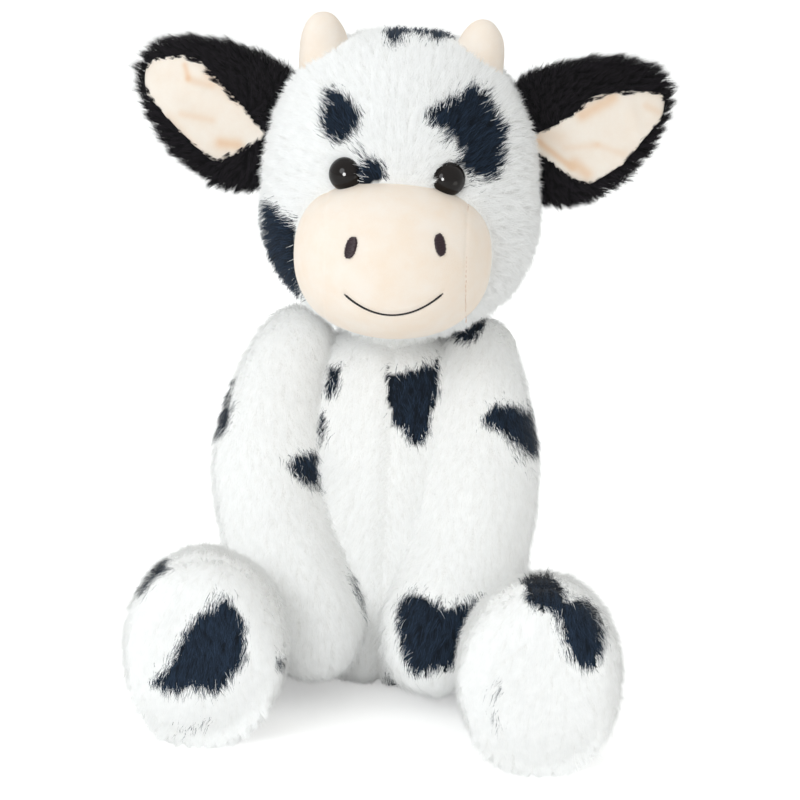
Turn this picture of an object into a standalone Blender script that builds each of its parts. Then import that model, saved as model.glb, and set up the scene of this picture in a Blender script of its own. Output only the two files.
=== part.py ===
"""Seated plush cow at life size: sewn pile skins over stuffing, with a turning neck and loose limbs.

Metres, +Z up, facing -Y, with the origin on the floor under the middle of the seat.
The cow's own left side is +X. Every stuffed form is an oval section that swells and
tapers along a curved spine. The larger forms cut the smaller ones, and each limb
turns on a round root that sits in a round hollow of the form that carries it.
"""
import math

import bmesh
import bpy
from mathutils import Matrix, Vector

# Fabric and clearances
GAP = 0.0003
SKIN = 0.0018
ROOT_CLEARANCE = 0.0009
SEAT_TRIM = 0.0001
NECK_CLEARANCE = 0.0045
ARM_HEAD_CLEARANCE = 0.0052
EAR_CLEARANCE = 0.0004
FLAT_DEPTH = 0.0005
ARM_CLEARANCE = 0.0018
OVERRUN = 0.02
MERGE = 0.00001
PIVOT_SIZE = 0.01

# Facets: sections round a form and rings along it, outside and inside its skin
BODY_FACETS = ((20, 13), (16, 11))
LIMB_FACETS = ((12, 10), (12, 10))
EAR_FACETS = ((14, 9), (14, 9))
SMALL_FACETS = ((10, 6), (10, 6))
ROOT_FACETS = ((18, 10), (12, 8))
TURNED_STEPS = 16
DOME_STEPS = 4

# How blunt a form's two ends are: 2 is round, and more is fuller
ROUND_ENDS = (2, 2)

# Torso: a pear with the seat flat on the floor
TORSO_HEIGHT = 0.163
TORSO_WIDTH = 0.124
TORSO_DEPTH = 0.108
TORSO_WIDTH_SHARES = (0.86, 1.02, 1.02, 0.93, 0.83, 0.76)
TORSO_DEPTH_SHARES = (0.92, 1.02, 0.99, 0.89, 0.79, 0.74)
TORSO_LEAN_SHARES = (0.09, 0.07, 0.04, 0.01, 0.0, 0.0)
TORSO_BLUNTNESS = (5.6, 2.8)

# Neck: a ball on top of the torso, in a hollow under the head
NECK_RAISE = 0.003
NECK_REACH = 0.001
NECK_RADIUS = 0.024
NECK_OPENING_RADIUS = 0.009
NECK_WAD_RADIUS = 0.014
NECK_HEIGHT = TORSO_HEIGHT + NECK_RAISE

# Head
HEAD_RAISE = 0.005
HEAD_HEIGHT = 0.136
HEAD_WIDTH = 0.1215
HEAD_DEPTH = 0.112
HEAD_WIDTH_SHARES = (0.98, 1.04, 1.02, 0.98, 0.94)
HEAD_DEPTH_SHARES = (0.92, 1.0, 1.03, 1.0, 0.9)
HEAD_FORWARD_SHARES = (0.05, 0.04, 0.03, 0.02, 0.0)
HEAD_BLUNTNESS = (2.4, 2.9)
HEAD_BOTTOM = TORSO_HEIGHT + HEAD_RAISE

# Muzzle: one front panel between two side panels
MUZZLE_WIDTH = 0.090
MUZZLE_HEIGHT = 0.0725
MUZZLE_DEPTH = 0.080
MUZZLE_RAISE = 0.044
MUZZLE_REACH = 0.051
MUZZLE_BLUNTNESS = (2.3, 2.3)
MUZZLE_SEAM_SHARE = 0.76
MUZZLE_CLOTH = 0.0012
MUZZLE_CENTRE_HEIGHT = HEAD_BOTTOM + MUZZLE_RAISE

# Eyes: a glossy dome on a ribbed shank, held by a washer inside the head
EYE_RADIUS = 0.0075
EYE_DOME_HEIGHT = 0.0062
EYE_RIM = 0.0008
EYE_OUT = 0.0240
EYE_RAISE = 0.083
SHANK_RADIUS = 0.0018
SHANK_LENGTH = 0.011
SHANK_RIB = 0.0003
SHANK_RIBS = 3
SHANK_FREE_SHARE = 0.35
SHANK_HOLE_CLEARANCE = 0.0003
WASHER_RADIUS = 0.0055
WASHER_THICKNESS = 0.0011
WASHER_COLLAR = 0.0008
WASHER_SEAT = 0.0016
WASHER_CLEARANCE = 0.0003

# Embroidered nostrils and mouth
NOSTRIL_WIDTH = 0.0060
NOSTRIL_HEIGHT = 0.0105
NOSTRIL_RISE = 0.0011
NOSTRIL_OUT = 0.0202
NOSTRIL_RAISE = 0.0135
NOSTRIL_LEAN = math.radians(12)
MOUTH_WIDTH = 0.045
MOUTH_DROP = 0.0181
MOUTH_SMILE = 0.0088
MOUTH_THREAD = 0.0011
MOUTH_POINTS = 17
THREAD_ROUNDING = 1

# Horns
HORN_RADIUS = 0.0118
HORN_TIP_RADIUS = 0.0085
HORN_HEIGHT = 0.0370
HORN_OUT = 0.0360
HORN_RAISE = 0.1135
HORN_REACH = 0.002
HORN_LEAN = math.radians(7)
HORN_CLOTH = 0.0012
HORN_PLACE_SHARES = (0, 0.35, 0.7, 1)
HORN_SWELL_SHARES = (1, 0.9, 0.55, 0)
HORN_BLUNTNESS = (6, 2.5)

# Ears: a cupped leaf of pile with a smooth lining
EAR_LENGTH = 0.0695
EAR_WIDTH = 0.058
EAR_THICKNESS = 0.0064
EAR_CUP = 0.0125
EAR_ROOT_OUT = 0.0580
EAR_RAISE = 0.0895
EAR_BACK = 0.004
EAR_RISE = math.radians(21)
EAR_SWEEP = math.radians(8)
EAR_START_SHARE = -0.10
EAR_WIDTH_SHARES = (0.95, 1.06, 0.98, 0.84, 0.66)
EAR_OFFSET_SHARES = (-0.04, -0.03, 0.0, 0.03, 0.05)
EAR_BLUNTNESS = (2.6, 2.2)
LINING_START_SHARE = 0.08
LINING_LENGTH = 0.062
LINING_WIDTH = 0.036
LINING_DROP = 0.004
LINING_THICKNESS = 0.0040
LINING_WIDTH_SHARES = (0.55, 0.94, 1.0, 0.94, 0.6)

# Arms: the left (+X) and the right, each from its shoulder ball down to the hand
SHOULDER_OUT = 0.0440
SHOULDER_REACH = 0.003
SHOULDER_DROP = 0.006
SHOULDER_RADIUS = 0.0165
ARM_THICKNESS = {"left": 0.0465, "right": 0.0435}
ARM_DROP = {"left": 0.133, "right": 0.130}
ARM_REACH = {"left": 0.082, "right": 0.079}
ARM_BOW = 0.030
ARM_BOW_SHARES = {
    "left": (-0.12, -0.06, -0.06, -0.22, -0.56, -0.70),
    "right": (0.0, 0.30, 0.42, 0.08, -0.42, -0.58),
}
ARM_REACH_SHARES = (0.0, 0.16, 0.38, 0.62, 0.86, 0.99)
ARM_DROP_SHARES = (-0.10, 0.18, 0.46, 0.70, 0.90, 1.06)
ARM_THICKNESS_SHARES = (0.86, 1.0, 1.06, 1.04, 1.02, 1.0)
ARM_BLUNTNESS = (3.0, 2.9)
ARM_OPENING_RADIUS = 0.006

# Legs: from the hip ball forward along the floor to the upright foot
HIP_OUT = 0.0465
HIP_REACH = 0.014
HIP_HEIGHT = 0.0295
HIP_RADIUS = 0.0255
LEG_REACH = {"left": 0.143, "right": 0.129}
LEG_SPLAY = {"left": 0.030, "right": 0.031}
LEG_THICKNESS = 0.055
FOOT_WIDTH = 0.068
FOOT_HEIGHT = 0.088
LEG_REACH_SHARES = (-0.12, 0.20, 0.48, 0.74, 0.90, 1.0)
LEG_SPLAY_SHARES = (0.0, 0.56, 0.86, 0.96, 0.99, 1.0)
LEG_FOOT_SHARES = (0.0, 0.0, 0.18, 0.74, 1.0, 0.97)
LEG_BLUNTNESS = (2.8, 3.1)
LEG_LEAN = 0.003
LEG_OPENING_RADIUS = 0.008
SOLE_DEPTH = 0.012

# Pellet pouch in the seat
POUCH_WIDTH = 0.078
POUCH_DEPTH = 0.066
POUCH_HEIGHT = 0.036
POUCH_CENTRE_HEIGHT = 0.016

# Tail: a sewn tube with a tuft of pile, hanging against the back
TAIL_HEIGHT = 0.066
TAIL_RADIUS = 0.0052
TAIL_SEAT = 0.0035
TAIL_DROP = 0.036
TAIL_REACH = 0.017
TAIL_DROP_SHARES = (0.0, 0.08, 0.38, 0.72, 1.0)
TAIL_REACH_SHARES = (0.0, 0.55, 0.92, 1.0, 1.0)
TUFT_RADIUS = 0.0095
TUFT_LENGTH = 0.019
TAIL_BLUNTNESS = (2.5, 2.5)
TUFT_BLUNTNESS = (2.2, 1.8)

# Colours and finishes, one per material: red, green, blue, roughness
PILE_WHITE = (0.88, 0.90, 0.90, 0.95)
PILE_BLACK = (0.010, 0.012, 0.018, 0.9)
PEACH_CLOTH = (0.95, 0.78, 0.64, 0.9)
STUFFING = (0.92, 0.92, 0.90, 1.0)
EYE_PLASTIC = (0.012, 0.008, 0.006, 0.08)
WASHER_PLASTIC = (0.85, 0.85, 0.83, 0.5)
DARK_THREAD = (0.020, 0.012, 0.014, 0.7)
POUCH_CLOTH = (0.75, 0.72, 0.66, 0.95)

SIDES = {"left": 1, "right": -1}
UP = Vector((0, 0, 1))
OUT = Vector((1, 0, 0))
FRONT = Vector((0, -1, 0))
SLOPE_STEP_SHARE = 0.01
# The exact solver loses a limb where round seats nest this closely
NESTED = "MANIFOLD"


def empty_scene():
    for thing in list(bpy.data.objects):
        bpy.data.objects.remove(thing, do_unlink=True)
    for group in list(bpy.data.collections):
        bpy.data.collections.remove(group)


def collection(name):
    group = bpy.data.collections.new(name)
    bpy.context.scene.collection.children.link(group)
    return group


def material(name, look):
    skin = bpy.data.materials.new(name)
    skin.use_nodes = True
    shader = skin.node_tree.nodes["Principled BSDF"]
    shader.inputs["Base Color"].default_value = (look[0], look[1], look[2], 1)
    shader.inputs["Roughness"].default_value = look[3]
    shader.inputs["Metallic"].default_value = 0
    skin.diffuse_color = (look[0], look[1], look[2], 1)
    return skin


def smooth_between(values, share):
    """The value at a share of the way along a list, on a smooth curve through them."""
    place = min(max(share, 0), 1) * (len(values) - 1)
    index = min(int(place), len(values) - 2)
    t = place - index
    start = values[index]
    end = values[index + 1]
    before = values[index - 1] if index > 0 else start * 2 - end
    after = values[index + 2] if index < len(values) - 2 else end * 2 - start
    square = before * 2 - start * 5 + end * 4 - after
    cube = start * 3 - before - end * 3 + after
    return (start * 2 + (end - before) * t + square * (t * t) + cube * (t * t * t)) / 2


class Form:
    """A stuffed form: an oval section that swells and tapers along a spine."""

    def __init__(self, spine, half_widths, half_depths, across, bluntness, facets, cup=0.0):
        self.spine = spine
        self.half_widths = half_widths
        self.half_depths = half_depths
        self.across = across
        self.bluntness = bluntness
        self.facets = facets
        self.cup = cup

    def tangent(self, share):
        low = smooth_between(self.spine, share - SLOPE_STEP_SHARE)
        high = smooth_between(self.spine, share + SLOPE_STEP_SHARE)
        return (high - low).normalized()

    def point(self, unit, grow):
        """Where a point of the unit sphere comes to lie on the form."""
        share = (unit.z + 1) / 2
        tangent = self.tangent(share)
        side = (self.across - tangent * self.across.dot(tangent)).normalized()
        depth = tangent.cross(side)
        blunt = self.bluntness[1] if unit.z > 0 else self.bluntness[0]
        radial = max(1 - abs(unit.z) ** blunt, 0) ** (1 / blunt)
        ring = Vector((unit.x, unit.y))
        if ring.length > 0:
            ring.normalize()
        x = ring.x * radial
        y = ring.y * radial
        place = smooth_between(self.spine, share) + tangent * (grow * unit.z)
        place += side * (x * (smooth_between(self.half_widths, share) + grow))
        place += depth * (y * (smooth_between(self.half_depths, share) + grow))
        return place + depth * (self.cup * x * x)

    def solid(self, name, group, grow=0.0, inside=False):
        mesh = bpy.data.meshes.new(name)
        shape = bmesh.new()
        around, along = self.facets[1] if inside else self.facets[0]
        bmesh.ops.create_uvsphere(shape, u_segments=around, v_segments=along, radius=1)
        bmesh.ops.triangulate(shape, faces=shape.faces)
        for vertex in shape.verts:
            vertex.co = self.point(vertex.co.normalized(), grow)
        if shape.calc_volume(signed=True) < 0:
            bmesh.ops.reverse_faces(shape, faces=shape.faces)
        shape.to_mesh(mesh)
        shape.free()
        return place_object(name, mesh, group)

    def front(self, x, z):
        """The point of an upright form's front at a place across and up, and the way it faces."""
        def forward(x, z):
            low = self.spine[0].z
            high = self.spine[-1].z
            share = (z - low) / (high - low)
            along = share * 2 - 1
            blunt = self.bluntness[1] if along > 0 else self.bluntness[0]
            radial = max(1 - abs(along) ** blunt, 0) ** (1 / blunt)
            width = smooth_between(self.half_widths, share) * radial
            depth = smooth_between(self.half_depths, share) * radial
            return smooth_between(self.spine, share).y - depth * math.sqrt(max(1 - (x / width) ** 2, 0))

        step = (self.spine[-1].z - self.spine[0].z) * SLOPE_STEP_SHARE
        across = (forward(x + step, z) - forward(x - step, z)) / (step * 2)
        upward = (forward(x, z + step) - forward(x, z - step)) / (step * 2)
        facing = Vector((across, -1, upward)).normalized()
        return Vector((x, forward(x, z), z)), facing


def place_object(name, mesh, group):
    thing = bpy.data.objects.new(name, mesh)
    group.objects.link(thing)
    if group.name == "cutters":
        thing.hide_render = True
        thing.display_type = "WIRE"
    return thing


def ball(name, centre, radius, inside=False):
    mesh = bpy.data.meshes.new(name)
    shape = bmesh.new()
    around, along = ROOT_FACETS[1] if inside else ROOT_FACETS[0]
    bmesh.ops.create_uvsphere(shape, u_segments=around, v_segments=along, radius=radius)
    shape.to_mesh(mesh)
    shape.free()
    thing = place_object(name, mesh, CUTTERS)
    thing.location = centre
    return thing


def box(name, low, high):
    mesh = bpy.data.meshes.new(name)
    shape = bmesh.new()
    bmesh.ops.create_cube(shape, size=1)
    size = Vector(high) - Vector(low)
    bmesh.ops.scale(shape, vec=size, verts=shape.verts)
    shape.to_mesh(mesh)
    shape.free()
    thing = place_object(name, mesh, CUTTERS)
    thing.location = (Vector(high) + Vector(low)) / 2
    return thing


def rod(name, start, way, length, radius):
    """A round cutter from a start point along a direction."""
    mesh = bpy.data.meshes.new(name)
    shape = bmesh.new()
    bmesh.ops.create_cone(
        shape, cap_ends=True, segments=TURNED_STEPS, radius1=radius, radius2=radius, depth=length
    )
    bmesh.ops.translate(shape, vec=UP * (length / 2), verts=shape.verts)
    shape.to_mesh(mesh)
    shape.free()
    thing = place_object(name, mesh, CUTTERS)
    thing.matrix_world = Matrix.Translation(start) @ way.to_track_quat("Z", "Y").to_matrix().to_4x4()
    return thing


def combine(thing, other, operation, solver="EXACT"):
    step = thing.modifiers.new(other.name, "BOOLEAN")
    step.operation = operation
    step.solver = solver
    step.object = other


def carve(thing, *others, solver="EXACT"):
    for other in others:
        combine(thing, other, "DIFFERENCE", solver)


def turned(name, outline, group, closed=False):
    """A round piece from its outline of (radius, height) points, from the top down its outer side."""
    mesh = bpy.data.meshes.new(name)
    shape = bmesh.new()
    corners = [shape.verts.new((radius, 0, height)) for radius, height in outline]
    for first, second in zip(corners, corners[1:]):
        shape.edges.new((first, second))
    if closed:
        shape.edges.new((corners[-1], corners[0]))
    shape.to_mesh(mesh)
    shape.free()
    thing = place_object(name, mesh, group)
    turn = thing.modifiers.new("turn", "SCREW")
    turn.steps = TURNED_STEPS
    turn.render_steps = TURNED_STEPS
    turn.use_merge_vertices = True
    turn.merge_threshold = MERGE
    return thing


def finish(thing, look):
    thing.data.materials.clear()
    thing.data.materials.append(look)
    thing.data.shade_smooth()


class Stuffed:
    """A form with its root ball, what cuts it and what is seated in it."""

    def __init__(self, name, form, root=None, root_radius=0.0):
        self.name = name
        self.form = form
        self.root = root
        self.root_radius = root_radius
        self.sockets = []
        self.larger = []
        self.stands = False

    def seat(self, centre, radius):
        self.sockets.append((centre, radius))

    def cutter(self, name, grow, clearance):
        """The grown form that cuts a smaller neighbour, hollowed where a root sits in it."""
        inside = grow > GAP
        thing = self.form.solid(name + "_cut_by_" + self.name, CUTTERS, grow + clearance, inside)
        for index, (centre, radius) in enumerate(self.sockets):
            seat = ball(thing.name + "_seat_" + str(index), centre, radius + SEAT_TRIM + GAP - grow, inside)
            carve(thing, seat, solver=NESTED)
        return thing

    def solid(self, name, group, depth):
        """The form, shrunk all round by a depth, after everything that cuts it."""
        inside = depth > 0
        thing = self.form.solid(name, group, -depth, inside)
        if self.root:
            root = ball(name + "_root", self.root, self.root_radius - depth, inside)
            combine(thing, root, "UNION", NESTED)
        for index, (centre, radius) in enumerate(self.sockets):
            socket = ball(name + "_socket_" + str(index), centre, radius + ROOT_CLEARANCE + depth, inside)
            carve(thing, socket, solver=NESTED)
        for other, clearance in self.larger:
            carve(thing, other.cutter(name, GAP + depth, clearance), solver=NESTED)
        if self.stands:
            reach = TORSO_WIDTH + LEG_REACH["left"] + OVERRUN
            low = Vector((-reach, -reach, -reach))
            carve(thing, box(name + "_floor", low, (reach, reach, depth)), solver=NESTED)
        return thing

    def skin(self, look, cloth, *openings):
        thing = self.solid(self.name + "_skin", PARTS, 0)
        cavity = self.solid(self.name + "_cavity", CUTTERS, cloth)
        carve(thing, cavity, *openings, solver=NESTED)
        finish(thing, look)
        return thing

    def filling(self, look, cloth):
        thing = self.solid(self.name + "_filling", PARTS, cloth + GAP)
        finish(thing, look)
        return thing


def mirrored(point, side):
    return Vector((point[0] * SIDES[side], point[1], point[2]))


def halves(size, shares):
    return [size * share / 2 for share in shares]


def torso_form():
    count = len(TORSO_WIDTH_SHARES) - 1
    spine = [
        FRONT * (TORSO_DEPTH * lean) + UP * (TORSO_HEIGHT * place / count - FLAT_DEPTH)
        for place, lean in enumerate(TORSO_LEAN_SHARES)
    ]
    widths = halves(TORSO_WIDTH, TORSO_WIDTH_SHARES)
    depths = halves(TORSO_DEPTH, TORSO_DEPTH_SHARES)
    return Form(spine, widths, depths, OUT, TORSO_BLUNTNESS, BODY_FACETS)


def head_form():
    count = len(HEAD_WIDTH_SHARES) - 1
    spine = [
        FRONT * (HEAD_DEPTH * forward) + UP * (HEAD_BOTTOM + HEAD_HEIGHT * place / count)
        for place, forward in enumerate(HEAD_FORWARD_SHARES)
    ]
    widths = halves(HEAD_WIDTH, HEAD_WIDTH_SHARES)
    depths = halves(HEAD_DEPTH, HEAD_DEPTH_SHARES)
    return Form(spine, widths, depths, OUT, HEAD_BLUNTNESS, BODY_FACETS)


def muzzle_form():
    centre = FRONT * MUZZLE_REACH + UP * MUZZLE_CENTRE_HEIGHT
    spine = [centre - UP * (MUZZLE_HEIGHT / 2), centre, centre + UP * (MUZZLE_HEIGHT / 2)]
    widths = [MUZZLE_WIDTH / 2] * len(spine)
    depths = [MUZZLE_DEPTH / 2] * len(spine)
    return Form(spine, widths, depths, OUT, MUZZLE_BLUNTNESS, BODY_FACETS)


def arm_form(side):
    shoulder = shoulder_point(side)
    spine = []
    shares = zip(ARM_BOW_SHARES[side], ARM_REACH_SHARES, ARM_DROP_SHARES)
    for bow, reach, drop in shares:
        place = mirrored((ARM_BOW * bow, 0, 0), side)
        spine.append(shoulder + place + FRONT * (ARM_REACH[side] * reach) - UP * (ARM_DROP[side] * drop))
    sizes = halves(ARM_THICKNESS[side], ARM_THICKNESS_SHARES)
    return Form(spine, sizes, sizes, OUT, ARM_BLUNTNESS, LIMB_FACETS)


def leg_form(side):
    hip = hip_point(side)
    spine = []
    widths = []
    heights = []
    for reach, splay, foot in zip(LEG_REACH_SHARES, LEG_SPLAY_SHARES, LEG_FOOT_SHARES):
        half_height = (LEG_THICKNESS + (FOOT_HEIGHT - LEG_THICKNESS) * foot) / 2
        place = mirrored((LEG_SPLAY[side] * splay, 0, 0), side) + FRONT * (LEG_REACH[side] * reach)
        level = half_height - FLAT_DEPTH - hip.z
        spine.append(hip + place + UP * level)
        widths.append((LEG_THICKNESS + (FOOT_WIDTH - LEG_THICKNESS) * foot) / 2)
        heights.append(half_height)
    spine[-1] = spine[-1] - FRONT * LEG_LEAN
    return Form(spine, widths, heights, OUT, LEG_BLUNTNESS, LIMB_FACETS)


def shoulder_point(side):
    return mirrored((SHOULDER_OUT, -SHOULDER_REACH, TORSO_HEIGHT - SHOULDER_DROP), side)


def hip_point(side):
    return mirrored((HIP_OUT, -HIP_REACH, HIP_HEIGHT), side)


def neck_point():
    return FRONT * NECK_REACH + UP * NECK_HEIGHT


def ear_axes(side):
    """Along the ear and up across it."""
    along = Vector((math.cos(EAR_RISE) * math.cos(EAR_SWEEP), math.sin(EAR_SWEEP), math.sin(EAR_RISE)))
    along.normalize()
    across = (UP - along * UP.dot(along)).normalized()
    return mirrored(along, side), mirrored(across, side)


def ear_root(side):
    return mirrored((EAR_ROOT_OUT, EAR_BACK, HEAD_BOTTOM + EAR_RAISE), side)


def ear_form(side, start_share, length, width, shares, thickness, lift, drop):
    """A cupped leaf. One that lies lower in the cup is tilted to follow the cup's slope."""
    along, upward = ear_axes(side)
    cup_way = along.cross(upward)
    turn = -1 if cup_way.y > 0 else 1
    cup_way = cup_way * turn
    slope = drop * EAR_CUP / (EAR_WIDTH / 2) ** 2
    across = (upward - cup_way * (slope * 2)).normalized() * turn
    spine = []
    count = len(shares) - 1
    start = ear_root(side) + along * (EAR_LENGTH * start_share) - upward * drop
    start += cup_way * (lift + drop * slope)
    for place, offset in enumerate(EAR_OFFSET_SHARES):
        spine.append(start + along * (length * place / count) + upward * (EAR_WIDTH * offset))
    widths = halves(width, shares)
    depths = [thickness / 2] * len(shares)
    cup = EAR_CUP * (width / EAR_WIDTH) ** 2
    return Form(spine, widths, depths, across, EAR_BLUNTNESS, EAR_FACETS, cup)


def make_torso():
    neck = neck_point()
    torso = Stuffed("torso", torso_form(), neck, NECK_RADIUS)
    torso.stands = True
    for side in SIDES:
        torso.seat(shoulder_point(side), SHOULDER_RADIUS)
        torso.seat(hip_point(side), HIP_RADIUS)
    return torso


def neck_opening(name):
    start = neck_point() + UP * (NECK_RADIUS / 2)
    return rod(name, start, UP, NECK_RADIUS, NECK_OPENING_RADIUS)


def dress_torso(torso):
    torso.skin(WHITE, SKIN, neck_opening("torso_opening"))
    filling = torso.filling(WADDING, SKIN)
    low = Vector((0, 0, POUCH_CENTRE_HEIGHT - POUCH_HEIGHT / 2))
    middle = Vector((0, 0, POUCH_CENTRE_HEIGHT))
    spine = [low, middle, middle * 2 - low]
    widths = [POUCH_WIDTH / 2] * len(spine)
    depths = [POUCH_DEPTH / 2] * len(spine)
    pouch = Form(spine, widths, depths, OUT, ROUND_ENDS, SMALL_FACETS)
    carve(filling, pouch.solid("filling_cut_by_pouch", CUTTERS, GAP))
    wad_room = ball("filling_cut_by_neck_wad", neck_point(), NECK_WAD_RADIUS + ROOT_CLEARANCE, True)
    carve(filling, wad_room, neck_opening("filling_opening"))
    bag = pouch.solid("pellet_pouch", PARTS)
    combine(bag, torso.solid("pouch_room", CUTTERS, SKIN + GAP * 2), "INTERSECT")
    finish(bag, POUCH)
    wad = ball("neck_wad", neck_point(), NECK_WAD_RADIUS, True)
    CUTTERS.objects.unlink(wad)
    PARTS.objects.link(wad)
    wad.hide_render = False
    wad.display_type = "TEXTURED"
    wad.name = "neck_filling"
    finish(wad, WADDING)


def make_head(torso):
    head = Stuffed("head", head_form())
    head.seat(neck_point(), NECK_RADIUS)
    head.larger = [(torso, NECK_CLEARANCE)]
    return head


def eye_place(head, side):
    point, facing = head.form.front(EYE_OUT * SIDES[side], HEAD_BOTTOM + EYE_RAISE)
    return point, facing


def eye_outline():
    """Half of the eye's section: dome, rim, flat back, ribbed shank."""
    outline = []
    for step in range(DOME_STEPS + 1):
        angle = math.pi / 2 * (1 - step / DOME_STEPS)
        radius = EYE_RADIUS * math.cos(angle)
        outline.append((radius, EYE_RIM + EYE_DOME_HEIGHT * math.sin(angle)))
    outline[0] = (0, EYE_RIM + EYE_DOME_HEIGHT)
    outline.append((EYE_RADIUS, 0))
    outline.append((SHANK_RADIUS, 0))
    pitch = SHANK_LENGTH * (1 - SHANK_FREE_SHARE) / SHANK_RIBS
    depth = SHANK_LENGTH * SHANK_FREE_SHARE
    outline.append((SHANK_RADIUS, -depth))
    for rib in range(SHANK_RIBS):
        top = depth + pitch * rib
        outline.append((SHANK_RADIUS + SHANK_RIB, -(top + SHANK_RIB)))
        outline.append((SHANK_RADIUS, -(top + pitch)))
    outline.append((0, -SHANK_LENGTH))
    return outline


def washer_outline():
    bore = SHANK_RADIUS + SHANK_RIB + WASHER_CLEARANCE
    collar = bore + WASHER_COLLAR
    return [
        (bore, 0),
        (WASHER_RADIUS, 0),
        (WASHER_RADIUS, -WASHER_THICKNESS),
        (collar, -WASHER_THICKNESS),
        (collar, -WASHER_THICKNESS - WASHER_COLLAR),
        (bore, -WASHER_THICKNESS - WASHER_COLLAR),
    ]


def make_eyes(head):
    """The eyes and washers, and the holes, seats and pockets that they need."""
    holes = []
    seats = []
    pockets = []
    domes = []
    for side in SIDES:
        point, facing = eye_place(head, side)
        turn = facing.to_track_quat("Z", "Y").to_matrix().to_4x4()
        eye = turned("eye_" + side, eye_outline(), PARTS)
        eye.matrix_world = Matrix.Translation(point + facing * GAP) @ turn
        finish(eye, EYE)
        washer = turned("eye_washer_" + side, washer_outline(), PARTS, closed=True)
        seat = point - facing * (SKIN + WASHER_SEAT)
        washer.matrix_world = Matrix.Translation(seat) @ turn
        finish(washer, WASHER)
        bore = SHANK_RADIUS + SHANK_RIB + SHANK_HOLE_CLEARANCE
        deep = point - facing * (SHANK_LENGTH + WASHER_SEAT)
        holes.append(rod("shank_hole_" + side, deep, facing, SHANK_LENGTH + OVERRUN, bore))
        pockets.append(
            rod("washer_pocket_" + side, deep, facing, SHANK_LENGTH + OVERRUN, WASHER_RADIUS + WASHER_SEAT)
        )
        seats.append(rod("eye_seat_" + side, point, facing, OVERRUN, EYE_RADIUS + GAP * 2))
        domes.append(
            rod("dome_room_" + side, point - facing * GAP, facing, OVERRUN, EYE_RADIUS + GAP * 2)
        )
    return holes, seats, pockets, domes


def dress_head(head, holes, seats, pockets):
    head.skin(WHITE, SKIN, neck_opening("head_opening"), *holes, *seats)
    filling = head.filling(WADDING, SKIN)
    carve(filling, *pockets)


def make_muzzle(head, domes):
    muzzle = Stuffed("muzzle", muzzle_form())
    muzzle.larger = [(head, 0)]
    seam = MUZZLE_WIDTH / 2 * MUZZLE_SEAM_SHARE
    reach = MUZZLE_WIDTH + OVERRUN
    back = -MUZZLE_REACH - reach
    shelf = MUZZLE_CENTRE_HEIGHT
    cavity = muzzle.form.solid("muzzle_cavity", CUTTERS, -MUZZLE_CLOTH, True)
    panels = {
        "muzzle_front": (-seam + GAP / 2, seam - GAP / 2),
        "muzzle_side_left": (seam + GAP / 2, reach),
        "muzzle_side_right": (-reach, -seam - GAP / 2),
    }
    for name, (low, high) in panels.items():
        panel = muzzle.solid(name, PARTS, 0)
        carve(panel, cavity, *domes)
        room = box(name + "_room", (low, back, shelf - reach), (high, reach, shelf + reach))
        combine(panel, room, "INTERSECT")
        finish(panel, PEACH)
    filling = muzzle.solid("muzzle_filling", PARTS, MUZZLE_CLOTH + GAP)
    carve(filling, *domes)
    finish(filling, WADDING)
    return muzzle


def make_face(muzzle):
    """The nostrils and the smile, stitched on the muzzle."""
    for side in SIDES:
        height = MUZZLE_CENTRE_HEIGHT + NOSTRIL_RAISE
        point, facing = muzzle.form.front(NOSTRIL_OUT * SIDES[side], height)
        upward = (UP - facing * UP.dot(facing)).normalized()
        lean = Matrix.Rotation(NOSTRIL_LEAN * SIDES[side], 3, facing)
        upward = lean @ upward
        across = upward.cross(facing)
        spine = [point + upward * (NOSTRIL_HEIGHT / 2 * share) for share in (-1, 0, 1)]
        widths = [NOSTRIL_WIDTH / 2] * len(spine)
        depths = [NOSTRIL_RISE] * len(spine)
        nostril = Form(spine, widths, depths, across, ROUND_ENDS, SMALL_FACETS)
        pad = nostril.solid("nostril_" + side, PARTS)
        carve(pad, muzzle.form.solid("nostril_bed_" + side, CUTTERS, GAP))
        finish(pad, THREAD)
    points = []
    for step in range(MOUTH_POINTS):
        share = step / (MOUTH_POINTS - 1) * 2 - 1
        x = MOUTH_WIDTH / 2 * share
        z = MUZZLE_CENTRE_HEIGHT - MOUTH_DROP + MOUTH_SMILE * share * share
        point, facing = muzzle.form.front(x, z)
        points.append(point + facing * (MOUTH_THREAD / 2 + GAP * 2))
    line = bpy.data.curves.new("mouth_line", "CURVE")
    line.dimensions = "3D"
    line.bevel_depth = MOUTH_THREAD / 2
    line.bevel_resolution = THREAD_ROUNDING
    line.use_fill_caps = True
    spline = line.splines.new("POLY")
    spline.points.add(len(points) - 1)
    for corner, point in zip(spline.points, points):
        corner.co = (point.x, point.y, point.z, 1)
    mouth = bpy.data.objects.new("mouth_thread", line)
    PARTS.objects.link(mouth)
    line.materials.append(THREAD)


def make_horns(head):
    for side in SIDES:
        base = mirrored((HORN_OUT, -HORN_REACH, HEAD_BOTTOM + HORN_RAISE), side)
        way = mirrored((math.sin(HORN_LEAN), 0, math.cos(HORN_LEAN)), side)
        spine = [base + way * (HORN_HEIGHT * share) for share in HORN_PLACE_SHARES]
        sizes = [HORN_TIP_RADIUS + (HORN_RADIUS - HORN_TIP_RADIUS) * share for share in HORN_SWELL_SHARES]
        form = Form(spine, sizes, sizes, FRONT, HORN_BLUNTNESS, SMALL_FACETS)
        horn = Stuffed("horn_" + side, form)
        horn.larger = [(head, 0)]
        shell = horn.solid(horn.name + "_skin", PARTS, 0)
        carve(shell, form.solid(horn.name + "_cavity", CUTTERS, -HORN_CLOTH))
        finish(shell, PEACH)
        finish(horn.solid(horn.name + "_filling", PARTS, HORN_CLOTH + GAP), WADDING)


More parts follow.
